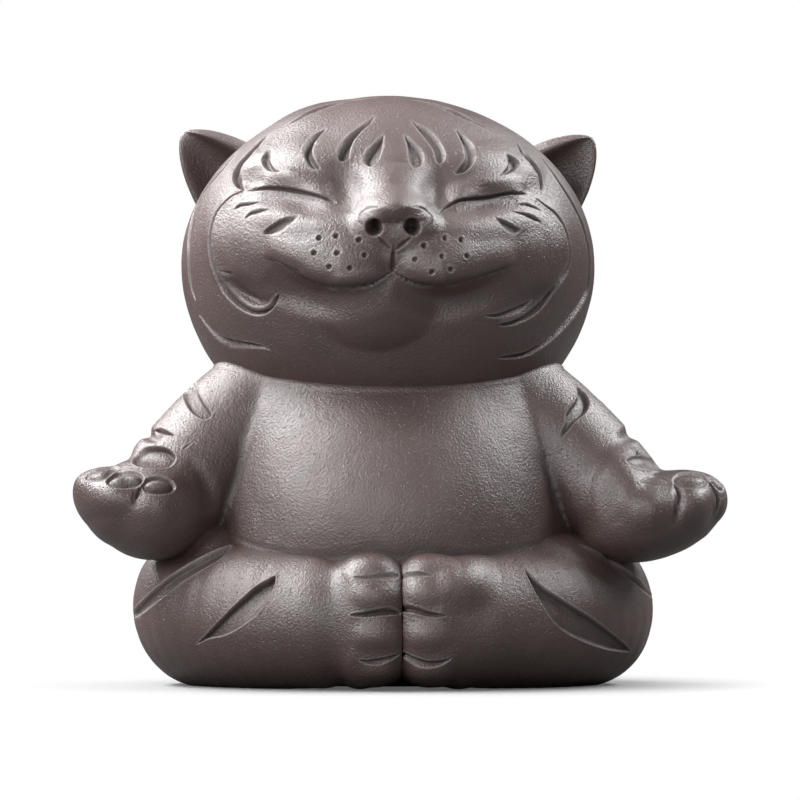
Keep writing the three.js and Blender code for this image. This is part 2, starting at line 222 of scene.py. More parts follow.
tool = {
    "faced": -0.15,  # a stroke cuts clay that faces the camera at least this much
    "spare": 0.5,  # how far past its width a stroke is looked for
    "steepWall": 0.9,  # the power that shapes a cut's narrow wall
    "runOut": 1.6,  # a cut gets shallow where its taper is under 1 / this
    "leastTaper": 0.1,
    "leastWidth": 0.02,
    "darkPower": 1.5,  # over 1 keeps the painted shade of a cut to its bottom
    "darkest": 1.2,
    "burr": 0.15,  # how broad the burr along a stroke is
    "burrEnds": 0.15,  # the taper under which it has none
    "groove": 0.22,  # how broad the groove beside raised clay is
    "grooveShare": 0.3,  # and how deep, as a share of the rise
    "pocketReach": 6,  # pixels round a pocket's outline
    "pocketBehind": 4,  # it ends so far behind the middle
    "pocketFaced": 0.05,
    "pocketBurr": 0.14,
    "pocketLeast": 0.1,
    "domePower": 0.8,
    "wallDark": 0.6,  # how far in, in walls, a pocket's painted shade ends
    "floorDark": 0.25,
    "pitReach": 2.2,  # in radii, as are the next three
    "pitFloor": 0.25,
    "lipAt": 1.15,
    "lipBroad": 0.3,
    "pitLip": 0.05,
    "pitFaced": 0.1,
    "ridgeReach": 2,  # pixels round a ridge
}

plainStroke = {
    "peak": 0.5,  # where along its line it is deepest
    "blunt": 0.6,  # under 1 for blunt ends, over 1 for long thin ones
    "steep": 0.5,
    "hollow": 1.3,  # the power that shapes the broad wall
    "burr": 0.04,  # how high the clay stands along it
    "wearAndHighlight": 0.7,  # how pale that burr is: painted highlight and wear
}

plainPocket = {
    "wall": 0.42,
    "dome": 0.0,
    "slope": 0.45,
    "burr": 0.05,
    # dark is how much painted shade a pocket takes; the burr's paleness (worn) is painted highlight and wear
    "dark": 0.8,
    "wearAndHighlight": 0.8,
}

# a pit's lip is pale with painted highlight and wear
plainPit = {"wearAndHighlight": 0.5}

fineness = {
    "stroke": 0.6,  # finer clay over this share of a stroke's width, on each side
    "pocket": 3,  # and so many pixels more round a pocket and a pit
    "pit": 4.5,
    "turned": 0.25,  # least share of that reach, where the clay turns away
    "behind": 6,  # millimetres behind the middle where it ends
}


def strokeTaper(along, stroke):
    peak, blunt = (stroke.get(name, plainStroke[name]) for name in ("peak", "blunt"))
    rise = np.where(along < peak, along / peak, (1 - along) / (1 - peak))
    return np.clip(rise, 0, 1) ** blunt


def cutStroke(points, normals, tree, stroke, marks):
    stroke = {**plainStroke, **stroke}
    line = traced(tree, stroke["line"])
    if len(line) < 2:
        return
    reach = max(stroke.get("width", 0), stroke.get("raise", (0, 0))[1]) + tool["spare"]
    close = closeTo(points, line, reach)
    index = np.flatnonzero(close & (normals @ towardsCamera > tool["faced"]))
    distance, along, gap, run = nearestOnLine(points[index], line)
    handed = np.sign((np.cross(run, gap) * normals[index]).sum(1))
    taper = strokeTaper(along, stroke)
    if "raise" in stroke:
        # lifts the clay on one hand of the line, 1 for the left and -1 for the right, so the line is a step
        height, spread, hand = stroke["raise"]
        lift = height * taper * (1 - ease(distance / spread)) * (handed == hand)
        foot = height * taper * (1 - ease(distance / tool["groove"])) * (handed != hand) * tool["grooveShare"]
        marks["height"][index] += lift + foot
    if stroke.get("depth", 0) > 0:
        side = np.where(handed > 0, stroke["steep"], 1 - stroke["steep"]) * stroke["width"]
        wide = np.maximum(side * np.maximum(taper, tool["leastTaper"]), tool["leastWidth"])
        fall = np.clip(distance / wide, 0, 1)
        narrow = side < stroke["width"] * 0.5
        cut = (1 - fall) ** np.where(narrow, tool["steepWall"], stroke["hollow"])
        cut = cut * np.minimum(1, taper * tool["runOut"])
        marks["height"][index] -= stroke["depth"] * cut
        edge = np.exp(-(((distance - side * taper) / tool["burr"]) ** 2)) * (taper > tool["burrEnds"])
        marks["height"][index] += stroke["burr"] * edge
        # painted shade along the bottom of the cut, which also makes it duller, and painted highlight with
        # wear on its burr
        marks["shadeAndDull"][index] = np.maximum(marks["shadeAndDull"][index], np.clip(cut, 0, 1) ** tool["darkPower"])
        marks["rim"][index] = np.maximum(marks["rim"][index], edge * stroke["wearAndHighlight"])


def cutPocket(points, normals, seen, pocket, marks):
    # a leaf or drop sunk inside its outline, with a steep wall and a floor that domes or dips
    pocket = {**plainPocket, **pocket}
    outline = smoothLine(pocket["outline"], 6, closed=True)
    close = closeTo(seen, outline, tool["pocketReach"]) & (points[:, 1] < middleY + tool["pocketBehind"])
    index = np.flatnonzero(close & (normals @ towardsCamera > tool["pocketFaced"]))
    distance = nearestOnLine(seen[index], outline)[0]
    inside = insideOutline(seen[index], outline)
    depthIn = distance * pixelSize * np.where(inside, 1, -1)
    cut = ease(depthIn / pocket["wall"])
    middle = max(depthIn.max(), tool["pocketLeast"])
    dome = pocket["dome"] * ease(np.clip(depthIn / middle, 0, 1)) ** tool["domePower"]
    slope = 1.0
    if "deepSide" in pocket:
        # the floor is deeper towards this direction of the view, and runs out on the other side
        towards = np.array(pocket["deepSide"], float)
        towards /= np.linalg.norm(towards)
        lean = (seen[index] - outline.mean(0)) @ towards
        span = max(np.abs((outline - outline.mean(0)) @ towards).max(), 1)
        slope = 1 + pocket["slope"] * np.clip(lean / span, -1, 1)
    depth = pocket["depth"] * cut * slope - dome * cut
    edge = np.exp(-((depthIn / tool["pocketBurr"]) ** 2))
    marks["height"][index] += -depth + pocket["burr"] * edge * ~inside
    # painted shade on the walls and, fainter, on the floor, and painted highlight with wear on the burr
    darkness = cut * (1 - ease(depthIn / pocket["wall"] - tool["wallDark"])) + tool["floorDark"] * cut
    marks["shadeAndDull"][index] = np.maximum(marks["shadeAndDull"][index], darkness * pocket["dark"])
    marks["rim"][index] = np.maximum(marks["rim"][index], edge * pocket["wearAndHighlight"])


def pressPit(points, normals, seen, pit, marks):
    distance = np.linalg.norm(seen - np.array(pit["at"]), axis=1) * pixelSize
    radius = pit["radius"]
    near = (distance < radius * tool["pitReach"]) & (normals @ towardsCamera > tool["pitFaced"])
    near &= points[:, 1] < middleY
    cut = (1 - ease((distance / radius - tool["pitFloor"]) / (1 - tool["pitFloor"]))) * near
    lip = np.exp(-(((distance - radius * tool["lipAt"]) / (radius * tool["lipBroad"])) ** 2)) * near
    marks["height"] += tool["pitLip"] * lip - pit["depth"] * cut
    # painted shade in the pit, and painted highlight with wear on its lip
    marks["shadeAndDull"] = np.maximum(marks["shadeAndDull"], cut * tool["darkest"])
    marks["rim"] = np.maximum(marks["rim"], lip * pit.get("wearAndHighlight", plainPit["wearAndHighlight"]))


def carve(bm, strokes=(), pockets=(), pits=()):
    points, normals = pointsOf(bm), normalsOf(bm)
    seen = seenAt(points)
    tree = BVHTree.FromBMesh(bm)
    marks = {"height": np.zeros(len(points))}
    shadeAndDullMarks, marks["shadeAndDull"] = marksOf(bm, "shadeAndDull")
    rimMarks, marks["rim"] = marksOf(bm, "rim")
    for stroke in strokes:
        cutStroke(points, normals, tree, stroke, marks)
    for pocket in pockets:
        cutPocket(points, normals, seen, pocket, marks)
    for pit in pits:
        pressPit(points, normals, seen, pit, marks)
    movePoints(bm, points + normals * marks["height"][:, None])
    setMarks(bm, shadeAndDullMarks, np.clip(marks["shadeAndDull"], 0, tool["darkest"]))
    setMarks(bm, rimMarks, np.clip(marks["rim"], 0, 1))


def refineFor(bm, margin, strokes=(), pockets=(), pits=()):
    # finer clay within so many pixels of what will be carved, fewer where the clay turns away
    points = pointsOf(bm)
    seen = seenAt(points)
    front = points[:, 1] < middleY + fineness["behind"]
    facing = np.clip(normalsOf(bm) @ towardsCamera, fineness["turned"], 1)
    chosen = np.zeros(len(points), bool)
    lines = [(smoothLine(s["line"], 4), margin + s.get("width", 0) / pixelSize * fineness["stroke"])
             for s in strokes]
    lines += [(smoothLine(p["outline"], 4, closed=True), margin + fineness["pocket"]) for p in pockets]
    for line, reach in lines:
        index = np.flatnonzero(closeTo(seen, line, reach) & front)
        if len(index):
            chosen[index] |= nearestOnLine(seen[index], line)[0] < reach * facing[index]
    for pit in pits:
        reach = margin + fineness["pit"] + pit["radius"] / pixelSize
        chosen |= (np.linalg.norm(seen - np.array(pit["at"]), axis=1) < reach) & front
    subdivideWhere(bm, chosen)


def readyToPress(bm, centre):
    # with a centre, clay is pressed straight away from it or towards it, else along its own normals
    points = pointsOf(bm)
    away = points - np.array(centre) if centre is not None else normalsOf(bm)
    if centre is not None:
        away = away / np.linalg.norm(away, axis=1)[:, None]
    return points, away, seenAt(points), np.zeros(len(points))


def pressForms(bm, forms, centre=None):
    # swells and hollows: at is a pixel, wide and high are half sizes, proud is how far it stands out
    points, normals, seen, height = readyToPress(bm, centre)
    for form in forms:
        turn = math.radians(form.get("turn", 0))
        across = (seen[:, 0] - form["at"][0]) * pixelSize
        up = -(seen[:, 1] - form["at"][1]) * pixelSize
        u = (across * math.cos(turn) + up * math.sin(turn)) / form["wide"]
        v = (up * math.cos(turn) - across * math.sin(turn)) / form["high"]
        within = np.clip(1 - u**2 - v**2, 0, 1) ** form.get("full", 2)
        height += form["proud"] * within * (points[:, 1] < middleY)
    movePoints(bm, points + normals * height[:, None])


def pressRidges(bm, ridges, centre=None):
    # long swells and hollows along a line of the view; with a side, only that hand of the line is lifted,
    # as a lip
    points, normals, seen, height = readyToPress(bm, centre)
    for ridge in ridges:
        line = smoothLine(ridge["line"], 8)
        reach = ridge["wide"] / pixelSize + tool["ridgeReach"]
        index = np.flatnonzero(closeTo(seen, line, reach) & (points[:, 1] < middleY))
        distance, along, gap, run = nearestOnLine(seen[index], line)
        distance = distance * pixelSize
        taper = strokeTaper(along, ridge)
        if "side" in ridge:
            handed = np.sign(run[:, 1] * gap[:, 0] - run[:, 0] * gap[:, 1])
            rounding = np.clip(distance / ridge["round"], 0, 1)
            shape = np.sqrt(1 - (1 - rounding) ** 2) * (1 - ease(distance / ridge["wide"]))
            shape = shape * (handed == ridge["side"])
        else:
            shape = np.clip(1 - (distance / ridge["wide"]) ** 2, 0, 1) ** 2
        height[index] += ridge["proud"] * shape * taper
    movePoints(bm, points + normals * height[:, None])


# Forms of clay


def faceOutward(bm):
    bm.normal_update()
    bmesh.ops.recalc_face_normals(bm, faces=bm.faces)


def shapedBall(points, ball):
    # a unit ball's points, moved to a ball with its own radius on each side
    points = np.asarray(points, float)
    square = ball.get("square", 2)
    x, y, z = (points / ((np.abs(points) ** square).sum(1) ** (1 / square))[:, None]).T
    deep = np.where(y < 0, ball["front"], ball.get("back", ball["front"]))
    high = np.where(z < 0, ball.get("down", ball["up"]), ball["up"])
    shaped = np.stack([x * ball["side"], y * deep, z * high], 1)
    tilt = math.radians(ball.get("tilt", 0))
    turned = shaped.copy()
    turned[:, 0] = shaped[:, 0] * math.cos(tilt) - shaped[:, 2] * math.sin(tilt)
    turned[:, 2] = shaped[:, 0] * math.sin(tilt) + shaped[:, 2] * math.cos(tilt)
    return turned + np.array(ball["centre"])


def addBall(bm, ball, subdivisions=5):
    made = bmesh.ops.create_icosphere(bm, subdivisions=subdivisions, radius=1)["verts"]
    for vert, point in zip(made, shapedBall([v.co for v in made], ball)):
        vert.co = point


def onSide(places, side):
    # places are given for the left, at +X
    return [(side * place[0],) + tuple(place[1:]) for place in places]


def addBallOn(bm, ball, side):
    addBall(bm, dict(ball, centre=onSide([ball["centre"]], side)[0]))


def addRoll(bm, stations, beads=15):
    # a roll of clay as a row of overlapping balls: stations are (x, y, z, half width, half height)
    for x, y, z, wide, high in smoothLine(stations, beads // (len(stations) - 1)):
        addBall(bm, {"centre": (x, y, z), "side": wide, "front": wide, "up": high}, 4)


def addTurned(bm, sections, rounds=72, exponent=2.1):
    # a form built up in rings: sections are (z, half width, front, back)
    def ring(verts, section, before=(0, 1, 1, 1)):
        z, side, front, back = section
        for vert in verts:
            angle = math.atan2(vert.co.y / before[2 if vert.co.y < 0 else 3], vert.co.x / before[1])
            c, s = math.cos(angle), math.sin(angle)
            out = (abs(c) ** exponent + abs(s) ** exponent) ** (-1 / exponent)
            vert.co = (out * c * side, out * s * (front if s < 0 else back), z)

    path = smoothLine(sections, 5)
    made = bmesh.ops.create_circle(bm, cap_ends=True, segments=rounds, radius=1)["verts"]
    ring(made, path[0])
    edges = [e for e in bm.edges if e.verts[0] in made and e.verts[1] in made and len(e.link_faces) == 1]
    for before, section in zip(path, path[1:]):
        grown = bmesh.ops.extrude_edge_only(bm, edges=edges)["geom"]
        ring([g for g in grown if isinstance(g, bmesh.types.BMVert)], section, before)
        edges = [g for g in grown if isinstance(g, bmesh.types.BMEdge) and g.is_boundary]
    bmesh.ops.holes_fill(bm, edges=edges, sides=0)


def fused(bm, voxel):
    # all the closed forms in one skin
    faceOutward(bm)
    mesh = bpy.data.meshes.new("forms")
    bm.to_mesh(mesh)
    bm.free()
    holder = bpy.data.objects.new("forms", mesh)
    bpy.context.scene.collection.objects.link(holder)
    remesh = holder.modifiers.new("remesh", "REMESH")
    remesh.mode = "VOXEL"
    remesh.voxel_size = voxel
    skin = bpy.data.meshes.new_from_object(holder.evaluated_get(bpy.context.evaluated_depsgraph_get()))
    joined = bmesh.new()
    joined.from_mesh(skin)
    bpy.data.objects.remove(holder)
    bpy.data.meshes.remove(mesh)
    bpy.data.meshes.remove(skin)
    return joined


def burnish(bm, times, where=None):
    # smooths the whole skin, or balls of it: where is a list of (x, y, z, radius)
    verts = bm.verts[:]
    if where is not None:
        points = pointsOf(bm)
        chosen = np.zeros(len(points), bool)
        for x, y, z, radius in where:
            chosen |= np.linalg.norm(points - (x, y, z), axis=1) < radius
        verts = [v for v, c in zip(verts, chosen) if c]
    for _ in range(times):
        bmesh.ops.smooth_vert(bm, verts=verts, factor=0.5, use_axis_x=True, use_axis_y=True, use_axis_z=True)


def handWork(bm, depth, size=5.5, finer=0.45, share=0.5):
    # the low unevenness that fingers and a burnishing stone leave, and a share of it finer
    points, normals = pointsOf(bm), normalsOf(bm)
    height = np.array([noise.noise(Vector(p) / size) + share * noise.noise(Vector(p) / (size * finer))
                       for p in points])
    movePoints(bm, points + normals * (depth * height)[:, None])


def rememberSkin(bm):
    # the shading of the whole skin, so that pieces parted from it meet without a line
    normals = normalsOf(bm)
    skin = bm.verts.layers.float_vector.get("skin") or bm.verts.layers.float_vector.new("skin")
    for vert, normal in zip(bm.verts, normals.tolist()):
        vert[skin] = normal


def markWearAndShade(bm, rounds=3, most=2):
    # bend is above 0 where a point stands out of the clay round it, which the colour shows as wear, and below
    # 0 where it lies in a hollow, which takes painted shade
    bm.verts.index_update()
    points, normals = pointsOf(bm), normalsOf(bm)
    edges = fetched(reader.edges, "vertices", 2, np.int32)
    total, count = np.zeros_like(points), np.zeros(len(points))
    for a, b in (edges.T, edges.T[::-1]):
        np.add.at(total, a, points[b])
        np.add.at(count, a, 1)
    step = np.linalg.norm(points[edges[:, 0]] - points[edges[:, 1]], axis=1)
    size = np.zeros(len(points))
    np.add.at(size, edges[:, 0], step)
    np.add.at(size, edges[:, 1], step)
    count = np.maximum(count, 1)
    bend = ((points - total / count[:, None]) * normals).sum(1) / np.maximum((size / count) ** 2, 1e-6)
    for _ in range(rounds):
        spread = np.zeros(len(points))
        np.add.at(spread, edges[:, 0], bend[edges[:, 1]])
        np.add.at(spread, edges[:, 1], bend[edges[:, 0]])
        bend = 0.5 * bend + 0.5 * spread / count
    marks, _ = marksOf(bm, "bend")
    setMarks(bm, marks, np.clip(bend, -most, most))


def markSkin(bm):
    markWearAndShade(bm)
    rememberSkin(bm)


def parted(bm, point, normal):
    # two closed pieces, one on each side of a plane: what the normal points to comes second
    halves = []
    for inner, outer in ((False, True), (True, False)):
        half = bm.copy()
        bmesh.ops.bisect_plane(half, geom=half.verts[:] + half.edges[:] + half.faces[:], dist=1e-5,
                               plane_co=point, plane_no=normal, clear_inner=inner, clear_outer=outer)
        cap = half.faces.layers.int.get("cap") or half.faces.layers.int.new("cap")
        filled = bmesh.ops.holes_fill(half, edges=[e for e in half.edges if e.is_boundary], sides=0)["faces"]
        for face in filled:
            face[cap] = 1
        halves.append(half)
    bm.free()
    return halves


def partedAt(bm, cut, side):
    # a cut is a place and the way it faces, given for the left
    place, normal = onSide(cut, side)
    return parted(bm, (place[0], place[1] + middleY, place[2]), normal)


def finishPiece(bm, name, nodes, material):
    # puts a piece in the scene as it stands in the frame, for the CAD nodes that it dresses
    bmesh.ops.triangulate(bm, faces=[f for f in bm.faces if len(f.verts) > 4])
    faceOutward(bm)
    movePoints(bm, pointsOf(bm) * mm)
    mesh = bpy.data.meshes.new(name)
    bm.to_mesh(mesh)
    bm.free()
    mesh.polygons.foreach_set("use_smooth", [True] * len(mesh.polygons))
    if "skin" in mesh.attributes:
        # shaded as the whole skin was, but flat across the closed cuts
        corners = fetched(mesh.loops, "vertex_index", kind=np.int32)
        shading = fetched(mesh.attributes["skin"].data, "vector", 3)[corners]
        if "cap" in mesh.attributes:
            caps = fetched(mesh.attributes["cap"].data, "value", kind=np.int32)
            sizes = fetched(mesh.polygons, "loop_total", kind=np.int32)
            flat = fetched(mesh.polygons, "normal", 3)
            onCap = np.repeat(caps > 0, sizes)
            shading[onCap] = np.repeat(flat, sizes, axis=0)[onCap]
            mesh.attributes.remove(mesh.attributes["cap"])
        mesh.normals_split_custom_set(shading / np.linalg.norm(shading, axis=1)[:, None])
        mesh.attributes.remove(mesh.attributes["skin"])
    mesh.materials.append(material)
    piece = bpy.data.objects.new(name, mesh)
    bpy.context.scene.collection.objects.link(piece)
    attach(piece, "root")
    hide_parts(*nodes)
    print("made", name, "with", len(mesh.loops) - 2 * len(mesh.polygons), "triangles")


# Materials. The clay's grain and mottling are one node group, placed in each clay with its own sizes.


def placed(tree, kind, at, **values):
    node = tree.nodes.new(kind)
    node.location = at
    for name, value in values.items():
        setattr(node, name, value)
    return node


def math2(tree, operation, a, b, at, clamp=False):
    node = placed(tree, "ShaderNodeMath", at, operation=operation, use_clamp=clamp)
    for socket, value in zip(node.inputs, (a, b)):
        if isinstance(value, (int, float)):
            socket.default_value = value
        else:
            tree.links.new(value, socket)
    return node.outputs[0]


def blended(tree, factor, a, b, at, mode="MIX"):
    node = placed(tree, "ShaderNodeMix", at, data_type="RGBA", blend_type=mode)
    for socket, value in ((node.inputs[0], factor), (node.inputs[6], a), (node.inputs[7], b)):
        if isinstance(value, (int, float, tuple)):
            socket.default_value = value
        else:
            tree.links.new(value, socket)
    return node.outputs[2]


def ranged(tree, value, low, high, toLow, toHigh, at):
    node = placed(tree, "ShaderNodeMapRange", at, clamp=True)
    tree.links.new(value, node.inputs[0])
    for socket, number in zip(node.inputs[1:5], (low, high, toLow, toHigh)):
        socket.default_value = number
    return node.outputs[0]


clayPattern = {
    "mottlePerMetre": 55,
    "mottled": (0.36, 0.64),  # from this much mottling to this much the clay goes from deep to pale
    "porePerGrain": 0.55,
    "pore": (0.05, 0.22),  # how near a pore's middle it is deep, and where it ends
    "poreDeep": -0.5,  # as a share of the grain's height
    "speckPerMetre": 900,
    "speck": (0.08, 0.2),
    "speckRare": (0.72, 0.8),
    "specksShown": 0.2,
    "strokesPerMetre": (900, 900, 260),  # short soft strokes of the burnishing stone
    "strokesTurned": (0.3, 0.5, 0.4),
    "strokesHigh": 0.12,  # as a share of the waves' height
    "rubbed": (0.02, 0.3),  # the bend at which burnishing begins to show, and shows fully
    "rubbedShown": 0.55,
    # painted shade in the hollows: the bend at which it begins, and is full, and how much shows
    "sunk": (-0.02, -0.35),
    "sunkShown": 0.6,
    "brokenBy": (0.3, 0.6),  # the grain breaks up the painted highlight and wear on the carving's edges
    "brokenTo": (0.35, 1),
    "wearAndHighlightShown": 0.4,  # how pale the painted highlight and wear on the carving's edges get
    "cutShown": 0.8,  # how dark the painted shade in the carving gets
    "roughBy": (0.3, 0.7),  # the mottling changes the roughness
    "roughTo": (-0.05, 0.06),
    "cutRougher": 0.3,
    "wornRougher": 0.12,
    "refraction": 1.6,
}


def clayGrainGroup():
    group = bpy.data.node_groups.new("clayGrain", "ShaderNodeTree")
    for name in ("Grain per metre", "Mottle per metre", "Speck per metre"):
        group.interface.new_socket(name, in_out="INPUT", socket_type="NodeSocketFloat")
    group.interface.new_socket("Place", in_out="INPUT", socket_type="NodeSocketVector")
    for name in ("Grain", "Pores", "Mottle", "Specks", "Strokes"):
        group.interface.new_socket(name, in_out="OUTPUT", socket_type="NodeSocketFloat")
    given = placed(group, "NodeGroupInput", (-900, 0))
    out = placed(group, "NodeGroupOutput", (600, 0))
    link = group.links.new

    def noiseAt(scale, detail, roughness, at, distortion=0.0):
        node = placed(group, "ShaderNodeTexNoise", at)
        link(given.outputs["Place"], node.inputs["Vector"])
        if isinstance(scale, (int, float)):
            node.inputs["Scale"].default_value = scale
        else:
            link(scale, node.inputs["Scale"])
        node.inputs["Detail"].default_value = detail
        node.inputs["Roughness"].default_value = roughness
        node.inputs["Distortion"].default_value = distortion
        return node.outputs[0]

    grain = noiseAt(given.outputs["Grain per metre"], 3, 0.6, (-600, 300))
    link(grain, out.inputs["Grain"])
    pore = placed(group, "ShaderNodeTexVoronoi", (-600, 60), feature="F1")
    link(given.outputs["Place"], pore.inputs["Vector"])
    pores = math2(group, "MULTIPLY", given.outputs["Grain per metre"], clayPattern["porePerGrain"],
                  (-780, 60))
    link(pores, pore.inputs["Scale"])
    link(ranged(group, pore.outputs["Distance"], *clayPattern["pore"], 1, 0, (-380, 60)), out.inputs["Pores"])
    mottle = noiseAt(given.outputs["Mottle per metre"], 4, 0.55, (-600, -200), 0.4)
    link(mottle, out.inputs["Mottle"])
    speck = placed(group, "ShaderNodeTexVoronoi", (-600, -460), feature="F1")
    link(given.outputs["Place"], speck.inputs["Vector"])
    link(given.outputs["Speck per metre"], speck.inputs["Scale"])
    size = ranged(group, speck.outputs["Distance"], *clayPattern["speck"], 1, 0, (-380, -460))
    rare = ranged(group, speck.outputs["Color"], *clayPattern["speckRare"], 0, 1, (-380, -640))
    link(math2(group, "MULTIPLY", size, rare, (-180, -520)), out.inputs["Specks"])
    # the burnishing stone's strokes: a stretched noise
    stretch = placed(group, "ShaderNodeMapping", (-780, -860))
    stretch.inputs["Scale"].default_value = clayPattern["strokesPerMetre"]
    stretch.inputs["Rotation"].default_value = clayPattern["strokesTurned"]
    link(given.outputs["Place"], stretch.inputs["Vector"])
    strokes = placed(group, "ShaderNodeTexNoise", (-600, -860))
    link(stretch.outputs[0], strokes.inputs["Vector"])
    strokes.inputs["Scale"].default_value = 1.0
    strokes.inputs["Detail"].default_value = 2
    link(strokes.outputs[0], out.inputs["Strokes"])
    return group


clayGrain = clayGrainGroup()

burnished = {
    "colour": (0.082, 0.047, 0.043, 1),
    "deeper": (0.063, 0.035, 0.032, 1),
    "paler": (0.115, 0.077, 0.072, 1),
    "cut": (0.036, 0.021, 0.019, 1),  # painted shade inside the carving, in the hollows and in the neck crease; the carving was also never burnished
    "wearAndHighlight": (0.34, 0.30, 0.29, 1),  # painted highlight and wear on the edges of the carving
    "speck": (0.24, 0.20, 0.185, 1),
    "roughness": 0.42,
    "polish": 1.0,
    "grain": 2700,
    "grainHeight": 0.00013,
    "waveHeight": 0.0002,
}

unburnished = {
    "colour": (0.060, 0.044, 0.042, 1),
    "deeper": (0.040, 0.029, 0.028, 1),
    "paler": (0.095, 0.072, 0.069, 1),
    # cut is painted shade and worn is painted highlight with wear, as in the burnished clay
    "cut": (0.036, 0.026, 0.025, 1),
    "wearAndHighlight": (0.2, 0.17, 0.165, 1),
    "speck": (0.2, 0.17, 0.16, 1),
    "roughness": 0.72,
    "polish": 0.5,
    "grain": 1600,
    "grainHeight": 0.00016,
    "waveHeight": 0.0002,
}


def clayMaterial(name, clay):
    material = bpy.data.materials.new(name)
    material.use_nodes = True
    tree = material.node_tree
    tree.nodes.clear()
    link = tree.links.new
    out = placed(tree, "ShaderNodeOutputMaterial", (900, 0))
    shader = placed(tree, "ShaderNodeBsdfPrincipled", (600, 0))
    link(shader.outputs[0], out.inputs[0])
    where = placed(tree, "ShaderNodeTexCoord", (-1200, 0))
    grain = placed(tree, "ShaderNodeGroup", (-980, 0), node_tree=clayGrain)
    grain.inputs["Grain per metre"].default_value = clay["grain"]
    grain.inputs["Mottle per metre"].default_value = clayPattern["mottlePerMetre"]
    grain.inputs["Speck per metre"].default_value = clayPattern["speckPerMetre"]
    link(where.outputs["Object"], grain.inputs["Place"])

    shadeAndDull, rim, bend = (placed(tree, "ShaderNodeAttribute", (-980, down), attribute_name=name).outputs["Fac"]
                         for name, down in (("shadeAndDull", -420), ("rim", -600), ("bend", -780)))

    # colour: mottled, a little paler where burnishing wore it, with painted shade in the hollows and in the
    # carving, and painted highlight with wear on the carving's edges
    shade = ranged(tree, grain.outputs["Mottle"], *clayPattern["mottled"], 0, 1, (-740, 200))
    colour = blended(tree, shade, clay["deeper"], clay["colour"], (-540, 200))
    rubbed = ranged(tree, bend, *clayPattern["rubbed"], 0, clayPattern["rubbedShown"], (-740, -780))
    colour = blended(tree, rubbed, colour, clay["paler"], (-360, 160))
    # painted shade in the hollows
    sunk = ranged(tree, bend, *clayPattern["sunk"], 0, clayPattern["sunkShown"], (-740, -980))
    colour = blended(tree, sunk, colour, clay["cut"], (-180, 120))
    # painted shade in the carving
    carved = math2(tree, "MULTIPLY", shadeAndDull, clayPattern["cutShown"], (-740, -420), clamp=True)
    colour = blended(tree, carved, colour, clay["cut"], (0, 80))
    dusty = math2(tree, "MULTIPLY", grain.outputs["Specks"], clayPattern["specksShown"], (-740, -120))
    colour = blended(tree, dusty, colour, clay["speck"], (160, 60))
    broken = ranged(tree, grain.outputs["Grain"], *clayPattern["brokenBy"], *clayPattern["brokenTo"],
                    (-740, -260))
    # painted highlight and wear on the carving's edges
    edge = math2(tree, "MULTIPLY", rim, broken, (-540, -560))
    edge = math2(tree, "MULTIPLY", edge, clayPattern["wearAndHighlightShown"], (-360, -560), clamp=True)
    colour = blended(tree, edge, colour, clay["wearAndHighlight"], (320, 40))
    link(colour, shader.inputs["Base Color"])

    # roughness: the carving and the hollows stayed dull
    least, most = (clay["roughness"] + change for change in clayPattern["roughTo"])
    rough = ranged(tree, grain.outputs["Mottle"], *clayPattern["roughBy"], least, most, (-540, -160))
    dull = math2(tree, "MULTIPLY", shadeAndDull, clayPattern["cutRougher"], (-540, -360))
    rough = math2(tree, "ADD", rough, dull, (-180, -200))
    dull = math2(tree, "MULTIPLY", rim, clayPattern["wornRougher"], (-540, -460))
    rough = math2(tree, "ADD", rough, dull, (0, -200), clamp=True)
    link(rough, shader.inputs["Roughness"])

    # height: sandy grain over the low waves of the burnishing
    height = math2(tree, "MULTIPLY", grain.outputs["Grain"], clay["grainHeight"], (-360, -760))
    deep = clayPattern["poreDeep"] * clay["grainHeight"]
    high = clayPattern["strokesHigh"] * clay["waveHeight"]
    pores = math2(tree, "MULTIPLY", grain.outputs["Pores"], deep, (-360, -900))
    waves = math2(tree, "MULTIPLY", grain.outputs["Strokes"], high, (-360, -1040))
    swell = math2(tree, "MULTIPLY", grain.outputs["Mottle"], clay["waveHeight"], (-360, -1180))
    height = math2(tree, "ADD", math2(tree, "ADD", height, pores, (-180, -800)),
                   math2(tree, "ADD", waves, swell, (-180, -1080)), (0, -900))
    bump = placed(tree, "ShaderNodeBump", (300, -600))
    bump.inputs["Strength"].default_value = 1
    bump.inputs["Distance"].default_value = 1
    link(height, bump.inputs["Height"])
    link(bump.outputs[0], shader.inputs["Normal"])
    shader.inputs["Specular IOR Level"].default_value = clay["polish"]
    shader.inputs["IOR"].default_value = clayPattern["refraction"]
    return material


burnishedClay = clayMaterial("burnishedClay", burnished)
unburnishedClay = clayMaterial("unburnishedClay", unburnished)
print("materials made")


# The head: one ball, its face pressed and carved, then parted where the CAD halves meet

head = {
    "centre": (0, 0, 64),
    "side": 31.6,
    "front": 26.0,
    "back": 25.5,
    "up": 25.8,
    "down": 28.3,
    "subdivisions": 7,
    "fine": (4, -0.8),  # pixels past the carving where the clay is finer, and finer again
    "handWork": 0.06,
}

